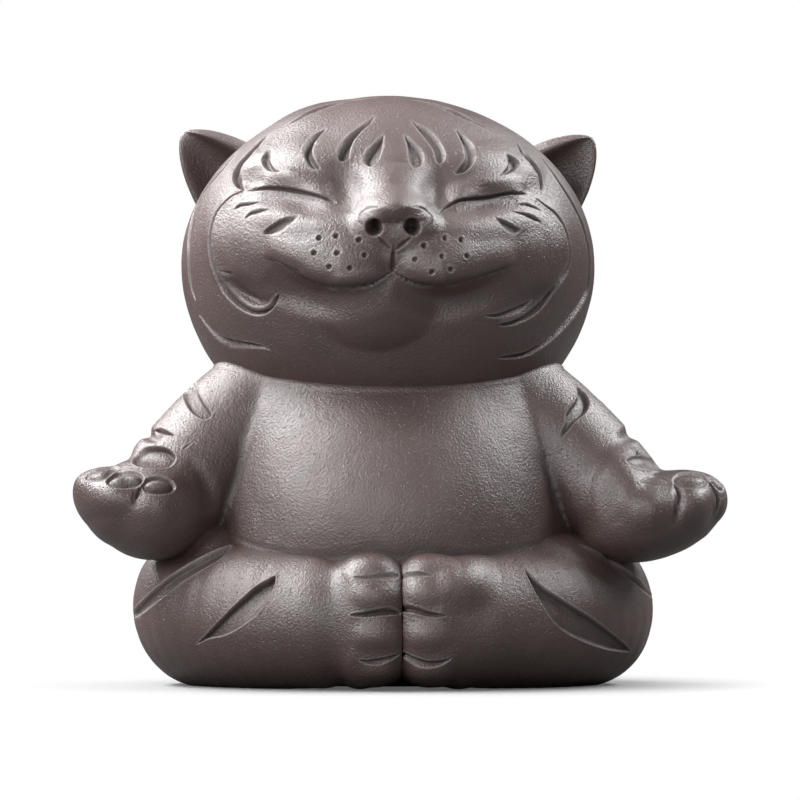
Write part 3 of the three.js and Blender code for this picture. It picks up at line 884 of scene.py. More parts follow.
faceForms = {
    "crownFlat": {"at": (392, 108), "wide": 14, "high": 3.5, "proud": 0.2},
    "midFace": {"at": (392, 246), "wide": 22, "high": 11.5, "proud": 2.3, "full": 1.6},
    "bridgeTop": {"at": (393, 172), "wide": 7.0, "high": 5, "proud": 0.7},
    "noseBall": {"at": (395, 222), "wide": 7.0, "high": 5.0, "proud": 2.45, "full": 1.5},
    "rightWing": {"at": (369, 221), "wide": 3.0, "high": 3.1, "proud": 0.45, "full": 1.5},
    "leftWing": {"at": (421, 221), "wide": 3.0, "high": 3.1, "proud": 0.45, "full": 1.5},
    "rightPad": {"at": (338, 252), "wide": 10, "high": 6.4, "proud": 2.1, "full": 1.3, "turn": -3},
    "leftPad": {"at": (446, 255), "wide": 10, "high": 6.4, "proud": 2.1, "full": 1.3, "turn": 3},
    "rightCheek": {"at": (258, 243), "wide": 9.5, "high": 10, "proud": 1.6},
    "leftCheek": {"at": (524, 250), "wide": 9.5, "high": 10, "proud": 1.6},
    "rightCheekTop": {"at": (305, 219), "wide": 9, "high": 3.4, "proud": 0.9, "turn": -4},
    "leftCheekTop": {"at": (482, 223), "wide": 9, "high": 3.4, "proud": 0.9, "turn": 5},
    "rightBrow": {"at": (296, 160), "wide": 9.5, "high": 4.6, "proud": 1.0, "turn": 8},
    "leftBrow": {"at": (490, 165), "wide": 9.5, "high": 4.6, "proud": 1.0, "turn": -8},
    "rightEyeCorner": {"at": (345, 188), "wide": 3.8, "high": 5.0, "proud": -1.1, "turn": 20},
    "leftEyeCorner": {"at": (436, 194), "wide": 3.8, "high": 5.0, "proud": -1.1, "turn": -20},
    "rightTemple": {"at": (254, 180), "wide": 3.0, "high": 1.8, "proud": -0.6, "turn": 20},
    "chin": {"at": (375, 309), "wide": 9.2, "high": 6.6, "proud": 1.9, "full": 1.2},
    "crownRight": {"at": (305, 116), "wide": 8, "high": 4.5, "proud": 0.55, "turn": 30},
    "rightDimple": {"at": (247, 292), "wide": 4.2, "high": 3.0, "proud": -1.0, "turn": -35},
    "leftDimple": {"at": (532, 300), "wide": 4.2, "high": 3.0, "proud": -0.7, "turn": 35},
}

faceRidges = {
    "bridge": {"line": [(393, 163), (393, 182), (394, 202), (395, 222)], "wide": 6.6, "proud": 2.1,
        "peak": 0.8, "blunt": 0.7},
    "rightLid": {"line": [(252, 186), (268, 179.5), (288, 178), (308, 183), (330, 194)], "wide": 2.1,
        "proud": 0.95, "blunt": 0.5},
    "leftLid": {"line": [(448, 198), (464, 190), (484, 184.5), (506, 184), (524, 189)], "wide": 2.1,
        "proud": 0.9, "blunt": 0.5},
    "rightUnderEye": {"line": [(262, 198), (284, 200), (306, 206), (328, 212), (346, 212)], "wide": 2.4,
        "proud": -0.6},
    "leftUnderEye": {"line": [(438, 217), (454, 215), (474, 208), (498, 203), (518, 202)], "wide": 2.4,
        "proud": -0.5},
    "rightMouthHollow": {"line": [(266, 275), (284, 287), (306, 297), (335, 303), (365, 300), (391, 291)],
        "wide": 3.3, "proud": -0.9, "peak": 0.3},
    "leftMouthHollow": {"line": [(393, 291), (415, 298), (442, 302), (470, 297), (494, 287), (514, 276)],
        "wide": 3.3, "proud": -1.25, "peak": 0.4},
    "rightLip": {"line": [(262, 257), (276, 261), (292, 268.5), (306, 278), (327, 285.7), (348, 287),
        (366, 284.5), (380, 279), (392, 271)], "side": 1, "round": 2.0, "wide": 8, "proud": 2.7,
        "peak": 0.62, "blunt": 0.75},
    "leftLip": {"line": [(393, 271), (404, 278), (418, 283.5), (432, 286), (446, 285.7), (467, 281),
        (488, 274), (504, 268), (518, 263)], "side": 1, "round": 2.0, "wide": 8, "proud": 2.7, "peak": 0.38,
        "blunt": 0.75},
    "rightCheekFold": {"line": [(226, 272), (233, 284), (244, 295), (257, 301.5), (268, 301), (278, 295)],
        "wide": 1.3, "proud": -0.9, "blunt": 0.7, "peak": 0.6},
    "rightCheekRoll": {"line": [(238, 197), (224, 208), (217, 224), (215.5, 242), (218, 262), (226, 280)],
        "wide": 2.6, "proud": 0.6},
    "leftCheekRoll": {"line": [(541, 208), (553, 220), (560, 240), (561, 258), (555, 274), (543, 290)],
        "wide": 2.6, "proud": 0.6},
    "rightBrowRoll": {"line": [(243, 181), (240, 172), (246, 161), (258, 148)], "wide": 1.8, "proud": 0.35},
    "leftBrowRoll": {"line": [(528, 190), (534, 178), (530, 165), (519, 152)], "wide": 2.0, "proud": 0.3},
}

faceStrokes = {
    "rightEye": {"line": [(246, 191.5), (262, 188.5), (276, 188), (290, 189.5), (306, 193), (320, 196.5),
        (330, 200), (337, 205)], "width": 0.8, "depth": 0.65, "steep": 0.35, "raise": (0.35, 1.8, 1),
        "blunt": 0.4},
    "leftEye": {"line": [(440, 212), (447.5, 206.5), (457.5, 201), (468.6, 198.7), (488, 196.6),
        (505, 193.3), (516, 193), (527, 194)], "width": 0.8, "depth": 0.65, "steep": 0.35,
        "raise": (0.35, 1.8, 1), "blunt": 0.4},
    "rightMouth": {"line": [(270, 259), (278, 262), (292, 268), (306, 278), (327, 285.7), (348, 287),
        (366, 284.5), (380, 279), (392, 271)], "width": 1.3, "depth": 0.75, "steep": 0.3, "peak": 0.7,
        "wearAndHighlight": 0.0},
    "leftMouth": {"line": [(393, 271), (404, 278), (418, 283.5), (432, 286), (446, 285.7), (467, 281),
        (488, 274), (503, 269)], "width": 1.3, "depth": 0.75, "steep": 0.3, "peak": 0.3, "wearAndHighlight": 0.0},
    "philtrum": {"line": [(394, 244), (393.5, 252), (393, 262), (392.5, 273)], "width": 1.3, "depth": 0.6,
        "peak": 0.75, "hollow": 1.6, "wearAndHighlight": 0.1},
    "rightNoseEdge": {"line": [(376, 235), (381, 240), (387, 246), (394, 251.5)], "width": 0.8,
        "depth": 0.45, "wearAndHighlight": 0.8},
    "leftNoseEdge": {"line": [(394, 251.5), (401, 246), (408, 240), (413, 235)], "width": 0.8,
        "depth": 0.45, "wearAndHighlight": 0.3},
    "rightNoseWing": {"line": [(384, 206.5), (372, 207), (364, 209.5), (359.5, 215), (360, 223),
        (366, 231)], "width": 0.7, "depth": 0.2, "steep": 0.75, "wearAndHighlight": 0.1},
    "leftNoseWing": {"line": [(408, 207), (419, 206.5), (427.5, 211), (432.5, 217.5), (430.5, 225),
        (422, 231)], "width": 0.7, "depth": 0.2, "steep": 0.25, "wearAndHighlight": 0.1},
    "rightForeheadArc": {"line": [(269, 133.5), (256, 146), (243, 159), (236, 168.6), (234, 177),
        (237.5, 185.4), (244, 191)], "width": 2.2, "depth": 1.0, "steep": 0.75, "peak": 0.6},
    "leftForeheadArc": {"line": [(516, 142), (524.7, 153), (534.5, 164.4), (540, 174), (541.5, 182.6),
        (541, 191)], "width": 2.0, "depth": 1.0, "steep": 0.4, "peak": 0.55},
    "rightCheekArc": {"line": [(243, 191), (233, 195.5), (225, 202), (216.5, 212), (211.6, 224.7),
        (209.5, 237), (210, 251), (213, 265), (218, 278), (225, 290.6), (234, 300), (244, 308),
        (254, 312.5), (264, 312), (272, 306.5), (279, 295)], "width": 1.7, "depth": 0.95, "steep": 0.65,
        "raise": (0.45, 2.2, 1), "blunt": 0.3, "wearAndHighlight": 0.9},
    "leftCheekArc": {"line": [(536.5, 198.5), (544.3, 205), (555.6, 213.5), (564, 226), (568.9, 241.5),
        (570.3, 255.6), (567.5, 269.6), (559.8, 282), (548.6, 296), (537, 309), (524, 318.5), (510, 324),
        (499, 325)], "width": 1.7, "depth": 0.95, "steep": 0.35, "raise": (0.45, 2.2, -1), "blunt": 0.3},
    "leftCheekFold": {"line": [(483, 315.5), (494, 316), (507, 313.5), (521, 307), (534, 298)],
        "width": 1.2, "depth": 0.5, "wearAndHighlight": 0.6},
    "rightHeadArc": {"line": [(236, 153), (223.5, 168.6), (211, 182.6), (199.6, 199.4), (192.6, 216),
        (189, 236), (188.4, 251), (189, 270), (191.5, 288), (196, 301)], "width": 1.5, "depth": 0.65,
        "steep": 0.6, "blunt": 0.4, "wearAndHighlight": 0.8},
    "leftHeadArc": {"line": [(539, 154), (548.6, 167.2), (558.4, 181.2), (571, 200.8), (582.2, 223.3),
        (588, 244), (590, 265), (588, 288), (581, 304), (570, 319), (557, 333), (541, 346), (523, 355),
        (497, 358)], "width": 1.8, "depth": 0.8, "steep": 0.45, "blunt": 0.35},
    "rightJawArc": {"line": [(198, 313), (208, 326), (219, 337), (232, 342), (250, 344.5), (262, 346.5),
        (272, 350)], "width": 1.4, "depth": 0.7, "steep": 0.35, "wearAndHighlight": 1},
    "rightCrownArc": {"line": [(288.5, 125), (296.5, 120), (309, 112.5), (325, 106.5), (343, 102),
        (362, 99), (380, 97.5)], "width": 2.1, "depth": 1.0, "peak": 0.3},
    "leftCrownArc": {"line": [(410, 99.5), (424, 102), (438, 106), (453, 112), (466, 118), (478, 124),
        (490, 130)], "width": 2.0, "depth": 1.0, "peak": 0.6},
    "rightCheekLine": {"line": [(234, 209.5), (240, 205), (250, 204), (262, 201.5)], "width": 0.9,
        "depth": 0.5, "peak": 0.25},
    "rightCheekLine2": {"line": [(244, 220), (250, 213.5), (260, 210.5), (271.5, 208.5)], "width": 1.0,
        "depth": 0.5, "steep": 0.4},
    "leftCheekLine": {"line": [(516, 204), (528, 205), (541, 210.5)], "width": 0.7, "depth": 0.45},
    "leftCheekLine2": {"line": [(510, 211), (524, 214), (533, 217.5), (541, 222)], "width": 1.1,
        "depth": 0.55, "peak": 0.75},
    "rightTick": {"line": [(221, 271), (227, 273.5), (233, 272.5)], "width": 1.1, "depth": 0.4},
}

facePockets = {
    "rightSmallCrescent": {"outline": [(270, 148.5), (264.2, 153), (261, 160.2), (264, 167.4), (271, 171.8),
        (282.5, 172), (275.4, 168.6), (271, 163.5), (269.5, 157)], "depth": 0.75, "deepSide": (-1, 0.3)},
    "rightBigCrescent": {"outline": [(327, 128.5), (314.7, 134.5), (306.3, 143), (303, 151.7),
        (305.8, 160.5), (312, 168.6), (320, 169), (315.4, 160.2), (312.6, 151.7), (314.5, 143.3),
        (320.3, 136)], "depth": 0.95, "deepSide": (-1, 0)},
    "rightLongDrop": {"outline": [(375.5, 115.5), (362.4, 125), (351, 133), (341, 144), (336.5, 155.5),
        (341, 161.5), (348.6, 159), (350.8, 149), (354.3, 140.5), (362.4, 131), (370.8, 123.5)],
        "depth": 0.95, "deepSide": (-1, -0.2)},
    "rightDrop": {"outline": [(384, 135), (376, 141.5), (367.6, 150), (363.3, 158.8), (366.5, 165),
        (372.4, 166.4), (378.3, 160.5), (381.8, 151.7), (383.4, 143.3)], "depth": 0.85,
        "deepSide": (-1, 0)},
    "leftDrop": {"outline": [(404.3, 135), (406.3, 143.3), (407.8, 153), (409, 162), (414.8, 168),
        (422.5, 165), (424.5, 157.3), (420.8, 148.9), (412.8, 141.3)], "depth": 0.7, "dome": 0.25},
    "leftLongDrop": {"outline": [(411.5, 121.5), (419, 131), (427.3, 142), (433, 150.5), (435, 159.5),
        (439.3, 164), (445.2, 159.5), (444.6, 150.3), (438.2, 139), (429.5, 130.3), (419.5, 125)],
        "depth": 0.7, "dome": 0.15},
    "leftBigCrescent": {"outline": [(456, 130), (461.2, 141.5), (464, 150.3), (464, 160.2), (455, 173.5),
        (464.4, 172.6), (473.3, 164.6), (477, 154.5), (473.3, 144.4), (464.6, 135.6)], "depth": 0.75,
        "deepSide": (-1, 0.2)},
    "leftSmallCrescent": {"outline": [(507, 153.5), (516.5, 158.5), (519, 164.4), (515, 170.5),
        (507, 174.5), (498, 176.3), (506, 168.6), (508.2, 161.6)], "depth": 0.7, "deepSide": (0.6, -1)},
    "rightCheekLeaf": {"outline": [(297.5, 214.8), (283.8, 217.8), (272.4, 224), (263.6, 231.5),
        (266.6, 235), (278.4, 232.2), (288.4, 225.2), (295.5, 219)], "depth": 0.6, "deepSide": (-0.6, -1)},
    "leftCheekLeaf": {"outline": [(495, 217), (501.5, 226.3), (508.7, 232.1), (514.9, 234.5), (521, 230.3),
        (516.5, 226.5), (509.3, 222.3), (502.2, 219)], "depth": 0.45, "deepSide": (0.5, -1)},
}

# nostrils and whisker holes are pits, darkened with painted shade
nostril = {"radius": 1.45, "depth": 3.4, "wearAndHighlight": 0.1}
nostrilPlaces = [(374, 227.5), (412.5, 227)]
whisker = {"radius": 0.5, "depth": 0.42}
whiskerPlaces = [(319, 238), (336, 236), (359, 240), (314, 253), (337, 253), (365, 255), (329, 267),
                 (350, 268), (445, 238), (461, 240), (424, 246), (415, 259.5), (442, 256.5), (467, 256),
                 (432, 272), (451, 269.5)]


def makeHead():
    bm = bmesh.new()
    addBall(bm, head, head["subdivisions"])
    movePoints(bm, settle(pointsOf(bm)))
    centre = settle([head["centre"]])[0]
    strokes, pockets = list(faceStrokes.values()), list(facePockets.values())
    pits = [dict(nostril, at=place) for place in nostrilPlaces]
    pits += [dict(whisker, at=place) for place in whiskerPlaces]
    refineFor(bm, head["fine"][0], strokes, pockets, pits)
    pressForms(bm, faceForms.values(), centre)
    pressRidges(bm, faceRidges.values(), centre)
    refineFor(bm, head["fine"][1], strokes, pockets, pits)
    handWork(bm, head["handWork"])
    carve(bm, strokes, pockets, pits)
    markSkin(bm)
    face, back = parted(bm, (0, middleY + headSeam, 0), (0, 1, 0))
    finishPiece(face, "faceAndBrow", ["face_shell"], burnishedClay)
    finishPiece(back, "headBack", ["head_back_shell"], burnishedClay)


makeHead()


# The ears: a leaf of clay on each side, cupped forward, its foot inside the head

ear = {
    "root": (20.5, 8.5, 73.0),
    "reach": (11.3, -2.6, 11.4),
    "halfWidth": 7.4,
    "thick": 2.6,
    "thin": 1.3,
    "cup": 2.2,
    "hollow": 0.9,
    "rimRoll": 2.5,  # the rolled upper edge
    "rimAt": 0.72,  # how far up the edge it lies, and how broad it is
    "rimBroad": 0.24,
    "taper": (1.9, 0.66),  # powers that shape the leaf's edge from root to tip
    "thickTo": 6,  # the higher, the nearer to the tip it keeps its thickness, and the rim its roll
    "rollTo": 4,
    "hollowTo": 1.05,  # over 1 ends the hollow before the tip
    "closing": 4,
    "drift": {-1: (-0.45, 0, 0), 1: (0, 0, -0.8)},  # each side outwards, back and up
    "handWork": 0.05,
}


def makeEar(name, node, side):
    bm = bmesh.new()
    bmesh.ops.create_uvsphere(bm, u_segments=96, v_segments=64, radius=1)
    reach = np.array(ear["reach"]) * (side, 1, 1)
    length = np.linalg.norm(reach)
    along = reach / length
    through = np.array((0, -1, 0)) + along * along[1]
    through /= np.linalg.norm(through)
    across = np.cross(along, through)
    root = (np.array(ear["root"]) + ear["drift"][side]) * (side, 1, 1)
    shaped = []
    for x, y, z in pointsOf(bm):
        t = (1 + z) / 2
        flat = math.hypot(x, y)
        c, s = (x / flat, y / flat) if flat > 1e-6 else (0, 0)
        closing = min(1, flat * ear["closing"])  # draws the ball's poles to points
        wide = ear["halfWidth"] * max(1 - t ** ear["taper"][0], 0) ** ear["taper"][1] * closing
        deep = ear["thick"] + (ear["thin"] - ear["thick"]) * t
        deep = deep * max(1 - t ** ear["thickTo"], 0) ** 0.5 * closing
        if s > 0:
            # the hollow of the cup faces forward
            deep *= 1 - ear["hollow"] * (1 - c * c) * math.sin(math.pi * min(t * ear["hollowTo"], 1))
            roll = math.exp(-(((-side * c - ear["rimAt"]) / ear["rimBroad"]) ** 2))
            deep += ear["rimRoll"] * roll * (1 - t ** ear["rollTo"]) * closing
        bow = ear["cup"] * c * c * wide / ear["halfWidth"]
        shaped.append(root + along * length * t + across * wide * c + through * (deep * s + bow))
    movePoints(bm, settle(shaped))
    faceOutward(bm)
    bmesh.ops.subdivide_edges(bm, edges=bm.edges, cuts=1, use_grid_fill=True)
    handWork(bm, ear["handWork"])
    markSkin(bm)
    finishPiece(bm, name, [node], burnishedClay)


makeEar("rightEar", "right_ear", -1)
makeEar("leftEar", "left_ear", 1)


# The body: torso, arms and paws pressed into one skin, then parted into the pieces it is luted from

neckHeight = 49.0
neckSide = head["side"] * math.sqrt(1 - ((head["centre"][2] - neckHeight) / head["down"]) ** 2)

body = {
    "torso": [(0.3, 24, 18, 21), (4, 28, 23, 25), (12, 30.5, 27.4, 28), (24, 30.0, 29.0, 28),
              (36, 28.8, 25.2, 26), (46, neckSide + 0.6, 19.4, 23), (56, neckSide - 3.4, 14, 19)],
    "arm": [(neckSide - 6.6, -5.4, 42.4, 9.4, 8.8), (neckSide - 2.9, -6.4, 39.0, 9.6, 9.2),
            (29.6, -8.8, 33.4, 9.4, 8.8), (34, -11.8, 28.6, 8.8, 8.0)],
    "armDrift": {-1: -0.1, 1: -0.7},
    "paw": {-1: {"centre": (39.7, -14, 28.3), "side": 9.2, "front": 9.2, "back": 8.4, "up": 4.7, "down": 7.0,
                 "tilt": -16},
            1: {"centre": (38.9, -14, 26.4), "side": 11.9, "front": 9.4, "back": 8.4, "up": 5.75, "down": 7.2,
                "tilt": 17.5}},
    "heel": {-1: {"centre": (36.8, -14, 27.4), "side": 9.3, "front": 9.6, "back": 8.4, "up": 7.6,
                  "down": 8.3},
             1: {"centre": (34.0, -13.5, 27.8), "side": 6.4, "front": 9.2, "back": 8.4, "up": 9.4,
                 "down": 9.0}},
    "voxel": 0.5,
    "burnishing": 4,
    "shoulderCut": ((30.0, 0, 0), (1, -0.3, 0)),
    "wristCut": ((35.5, -12.5, 29), (0.75, -0.5, -0.4)),
    "neckLip": (0.45, 0.32, 0.2),  # the clay pressed up round the head: how far out, how broad, how high
    "neckCrease": (0.9, 0.35),  # how dark its painted shade and how dull, how broad
    # where more rubbing smoothed the joins: how often, and (x, y, z, radius) on the left
    "rubbed": [(30, [(neckSide - 3, -6, 46, 9), (neckSide - 4, 2, 47, 10)]),
               (20, [(41, -15, 20.5, 6), (33, -20, 26, 6)])],
    "armpitRubbed": (8, [(22, -14, 39, 5), (24, -14, 33, 5), (27, -14, 27, 5)]),
    "fine": (6, 1.5),  # as for the head
    "handWork": 0.07,
}

bodyForms = {
    "belly": {"at": (400, 478), "wide": 23, "high": 15, "proud": 1.0, "full": 1.2},
    "rightNotch": {"at": (150, 435), "wide": 2.4, "high": 1.3, "proud": -0.8, "turn": -20},
    "rightWristRoll": {"at": (133, 445), "wide": 2.6, "high": 1.6, "proud": 0.4, "turn": 30},
    "leftNotch": {"at": (630, 434), "wide": 2.6, "high": 1.7, "proud": -0.7, "turn": 20},
    "rightToeBall": {"at": (108, 497), "wide": 4.0, "high": 3.6, "proud": 0.5},
    "rightInnerToe": {"at": (158, 508), "wide": 3.4, "high": 4.0, "proud": 0.45},
    "rightPawUnder": {"at": (104, 532), "wide": 3.2, "high": 2.8, "proud": 0.55},
    "leftHeelBall": {"at": (644, 504), "wide": 4.8, "high": 5.2, "proud": 0.9},
    "leftToeBall": {"at": (697, 505), "wide": 2.9, "high": 4.6, "proud": 0.7},
    "leftOuterToe": {"at": (722, 503), "wide": 1.4, "high": 3.6, "proud": 0.4},
}

bodyRidges = {
    "leftHeelEdge": {"line": [(625, 470), (613, 482), (609, 497), (611, 512), (618, 526)], "wide": 2.6,
        "proud": -0.4},
    "rightWristEdge": {"line": [(186, 462), (198, 470), (206, 482), (210, 497), (208, 512)], "wide": 1.7,
        "proud": -0.55},
    "leftToeCleft": {"line": [(676, 484), (679, 492), (679.5, 502), (677, 516), (672, 528)], "wide": 1.0,
        "proud": -0.7, "peak": 0.3},
    "leftToeCleft2": {"line": [(711, 482), (716, 491), (718.5, 501), (716, 515), (707, 532)], "wide": 0.9,
        "proud": -0.6, "peak": 0.3},
    "rightToeCleft": {"line": [(139, 488), (137, 496), (135, 508)], "wide": 1.0, "proud": -0.5,
        "peak": 0.3},
}

# a shallow fold whose painted shade darkens the creases between arms, belly and legs
softFold = {"width": 3.6, "depth": 0.12, "hollow": 0.9, "peak": 0.7, "blunt": 0.8, "wearAndHighlight": 0, "burr": 0}

bodyStrokes = {
    "rightArmFold": {**softFold, "line": [(256, 432), (252, 441), (240, 468), (228, 493), (219, 514)]},
    "leftArmFold": {**softFold, "line": [(537, 440), (540, 451), (551, 486), (558, 504), (567, 523)]},
    "bellyFold": {**softFold, "line": [(226, 532), (250, 543), (280, 552), (310, 557), (340, 556),
        (372, 550), (397, 555), (424, 550), (456, 555), (480, 556), (512, 550), (545, 541), (570, 528)],
        "width": 3.4, "peak": 0.5, "blunt": 0.6},
    "rightArmNotch": {"line": [(155, 431), (161, 431.5), (167, 433), (175, 436)], "width": 1.5,
        "depth": 0.7, "peak": 0.25, "wearAndHighlight": 0.3},
    "rightArmTick": {"line": [(182, 450), (187, 446), (192, 443)], "width": 0.7, "depth": 0.12},
    "rightToeCrease": {"line": [(141, 487), (138, 494), (135, 502)], "width": 1.0, "depth": 0.4,
        "peak": 0.2},
    "leftToeCrease": {"line": [(673.5, 483), (678.2, 490.8), (679, 499.6), (676.5, 509)], "width": 1.0,
        "depth": 0.4, "peak": 0.2},
    "leftToeCrease2": {"line": [(707.5, 481), (714.8, 491), (717.8, 500), (715, 514), (706, 530)],
        "width": 1.0, "depth": 0.4, "peak": 0.2},
}

bodyPockets = {
    "rightShoulderLeaf": {"outline": [(198.5, 378), (197.5, 390), (203.9, 402), (211.8, 413.5), (210, 418),
        (203, 419.5), (191.6, 412.8), (185.5, 403.6), (182.6, 395), (185, 386)], "depth": 0.7,
        "deepSide": (1, -0.6)},
    "leftShoulderLeaf": {"outline": [(577, 385.5), (586, 393.5), (589.5, 404), (585, 413.5), (576, 421),
        (570, 428.5), (560.5, 439), (561, 431.5), (565, 422.5), (565.3, 414), (571.5, 405), (577, 396)],
        "depth": 0.7, "deepSide": (1, 0.3)},
    "rightPalm": {"outline": [(132.5, 461), (138, 452), (145.7, 446.8), (158, 445.8), (168.7, 448.3),
        (175.8, 455.6), (174.4, 463.3), (167.1, 468.3), (154.9, 468.6), (142.7, 467.6), (134.5, 465)],
        "depth": 0.8, "dome": 0.2, "wall": 0.5, "deepSide": (0.5, -0.9)},
    "rightToeOne": {"outline": [(85, 480), (86, 475), (92.1, 470.5), (104.4, 466.7), (116.6, 466.5),
        (119, 469.4), (112.4, 474.2), (104.6, 480.3), (93.7, 482)], "depth": 0.7, "dome": 0.9, "wall": 0.5},
    "rightToeTwo": {"outline": [(105.6, 481.8), (112, 474.5), (124.3, 470.5), (135, 470.5), (143, 475.3),
        (143.8, 481.8), (136.5, 487.4), (121.2, 489), (110.2, 486.6)], "depth": 0.75, "dome": 1.1,
        "wall": 0.5},
    "rightToeThree": {"outline": [(140.8, 487.8), (144, 480), (153.4, 475.9), (164.1, 476.6),
        (172.8, 481.4), (176, 487.8), (170.2, 493.5), (158, 495), (147, 493.5)], "depth": 0.75, "dome": 1.1,
        "wall": 0.5},
    "leftPalm": {"outline": [(625.5, 460), (631.2, 456), (641.5, 455.2), (653.5, 459), (670, 467.4),
        (662, 471.4), (651.8, 470.7), (638.5, 468.5), (629.5, 465)], "depth": 0.4, "dome": 0.2, "wall": 0.5,
        "wearAndHighlight": 0.5},
    "leftToeOne": {"outline": [(638.8, 482), (647.4, 477.2), (659.1, 476.5), (668.3, 480.6), (667, 485.4),
        (654.7, 486.3), (644.4, 484.8)], "depth": 0.22, "dome": 0.45, "wall": 0.45, "wearAndHighlight": 0.3,
        "dark": 0.5},
    "leftToeTwo": {"outline": [(672, 479.5), (678.2, 473.6), (691.4, 472), (703.4, 475), (708.6, 483.5),
        (700.2, 488.4), (685.5, 488.4), (675, 484.8)], "depth": 0.45, "dome": 0.8, "wall": 0.45,
        "wearAndHighlight": 0.4, "dark": 0.5},
    "leftToeThree": {"outline": [(709, 480), (713, 477), (719, 480), (724, 487), (722, 492), (716, 489)],
        "depth": 0.4, "dome": 0.6, "wall": 0.4, "wearAndHighlight": 0.5, "dark": 0.5},
}

bodyPits = {
    "leftWristDot": {"at": (637.8, 453.4), "radius": 0.35, "depth": 0.5},
}


def pressNeck(bm):
    # where the head was set on: a fine lip of clay round it, and a crease darkened with painted shade and
    # duller
    points, normals = pointsOf(bm), normalsOf(bm)
    away = points - settle([head["centre"]])[0]
    deep = np.where(away[:, 1] < 0, head["front"], head["back"])
    high = np.where(away[:, 2] < 0, head["down"], head["up"])
    far = np.sqrt((away[:, 0] / head["side"]) ** 2 + (away[:, 1] / deep) ** 2 + (away[:, 2] / high) ** 2)
    gap = (far - 1) * np.linalg.norm(away, axis=1) / far
    out, broad, height = body["neckLip"]
    lip = height * np.exp(-(((gap - out) / broad) ** 2)) * (gap > -1)
    movePoints(bm, points + normals * lip[:, None])
    marks, shadeAndDull = marksOf(bm, "shadeAndDull")
    dull, spread = body["neckCrease"]
    setMarks(bm, marks, np.maximum(shadeAndDull, dull * (1 - ease(np.abs(gap) / spread))))


def makeBody():
    bm = bmesh.new()
    addTurned(bm, body["torso"])
    for side in (1, -1):
        addRoll(bm, onSide([(x + body["armDrift"][side], *rest) for x, *rest in body["arm"]], side))
        for part in ("paw", "heel"):
            addBallOn(bm, body[part][side], side)
    bm = fused(bm, body["voxel"])
    burnish(bm, body["burnishing"])
    for side in (1, -1):
        for times, spots in body["rubbed"]:
            burnish(bm, times, onSide(spots, side))
    movePoints(bm, settle(pointsOf(bm)))
    strokes, pockets, pits = list(bodyStrokes.values()), list(bodyPockets.values()), list(bodyPits.values())
    pressForms(bm, bodyForms.values())
    refineFor(bm, body["fine"][0], strokes, pockets, pits)
    pressRidges(bm, bodyRidges.values())
    times, spots = body["armpitRubbed"]
    burnish(bm, times, onSide(spots, 1) + onSide(spots, -1))
    refineFor(bm, body["fine"][1], strokes, pockets, pits)
    handWork(bm, body["handWork"])
    carve(bm, strokes, pockets, pits)
    pressNeck(bm)
    markSkin(bm)

    for side, word in ((-1, "right"), (1, "left")):
        bm, limb = partedAt(bm, body["shoulderCut"], side)
        arm, paw = partedAt(limb, body["wristCut"], side)
        finishPiece(arm, word + "Forearm", [word + "_arm"], burnishedClay)
        finishPiece(paw, word + "OpenPaw", [word + "_paw"], burnishedClay)
    belly, back = parted(bm, (0, middleY + headSeam, 0), (0, 1, 0))
    finishPiece(belly, "bellyAndChest", ["belly_shell"], burnishedClay)
    finishPiece(back, "backOfBody", ["back_shell"], burnishedClay)


makeBody()


# The legs, folded round to the feet, sole to sole

leg = {
    "roll": [(13, 9, 11, 9, 11.4), (25.6, 4.6, 12, 10.6, 12.2), (29.7, -6, 11.6, 10.5, 11.9),
             (23.0, -17.2, 10.8, 10.2, 11.0), (12, -24.3, 10.3, 9.2, 10.2)],
    "kneeDrift": {-1: -0.3, 1: -0.8},  # neither knee came out as wide as drawn
    "driftShare": (0, 0.6, 1, 0.5, 0),  # how much of that each station of the roll gets
    "lap": {-1: {"centre": (27.0, -11.0, 17.2), "side": 6.6, "front": 8.6, "back": 8, "up": 8.6, "down": 9},
            1: {"centre": (22.4, -14.5, 16.0), "side": 11.0, "front": 9.4, "back": 8, "up": 8.1, "down": 9}},
    "foot": {"centre": (4.5, -27.5, 10.5), "side": 6.6, "front": 7.7, "up": 10.1, "down": 10.1,
             "square": 2.6},
    "footSide": {-1: {"centre": (6.2, -26.0, 10.4), "side": 6.4, "front": 7.8, "up": 9.3, "down": 10.35},
                 1: {"centre": (8.7, -26.0, 11.0), "side": 6.0, "front": 8.1, "up": 8.9, "down": 10.95,
                     "square": 2.3}},
    "beads": 20,
    "voxel": 0.45,
    "burnishing": 5,
    "ankleCut": ((9.5, -24, 10), (-0.8, -0.6, 0)),
    "meet": (0, -28, 10),  # where the soles meet, and half the gap between them
    "gap": 0.03,
    "ground": 0.02,  # the height at which the roll is cut flat to stand on
    "rubbed": [(44, [(13.5, -31, 11, 8.5), (13, -30, 4, 5)]),
               (12, [(13.5, -27, 19, 5), (25, -17, 20, 6), (19, -21, 22, 5)])],
    "fine": (6, 1.5),
    "handWork": 0.06,
}

legForms = {
    "rightFootTop": {"at": (374, 562), "wide": 4.6, "high": 2.0, "proud": 0.5},
    "rightUpperToe": {"at": (375, 595), "wide": 4.8, "high": 2.8, "proud": 0.6},
    "rightLowerToe": {"at": (376, 636), "wide": 4.8, "high": 3.0, "proud": 0.7},
    "rightHeelToe": {"at": (378, 673), "wide": 4.4, "high": 1.8, "proud": 0.4},
    "leftFootTop": {"at": (428, 562), "wide": 4.0, "high": 2.0, "proud": 0.4},
    "leftUpperToe": {"at": (424, 592), "wide": 4.2, "high": 2.8, "proud": 0.5},
    "leftLowerToe": {"at": (428, 636), "wide": 4.6, "high": 3.0, "proud": 0.7},
    "leftHeelToe": {"at": (430, 673), "wide": 4.4, "high": 1.8, "proud": 0.4},
    "leftFootShoulder": {"at": (467, 580), "wide": 5.4, "high": 5.6, "proud": 1.5},
}

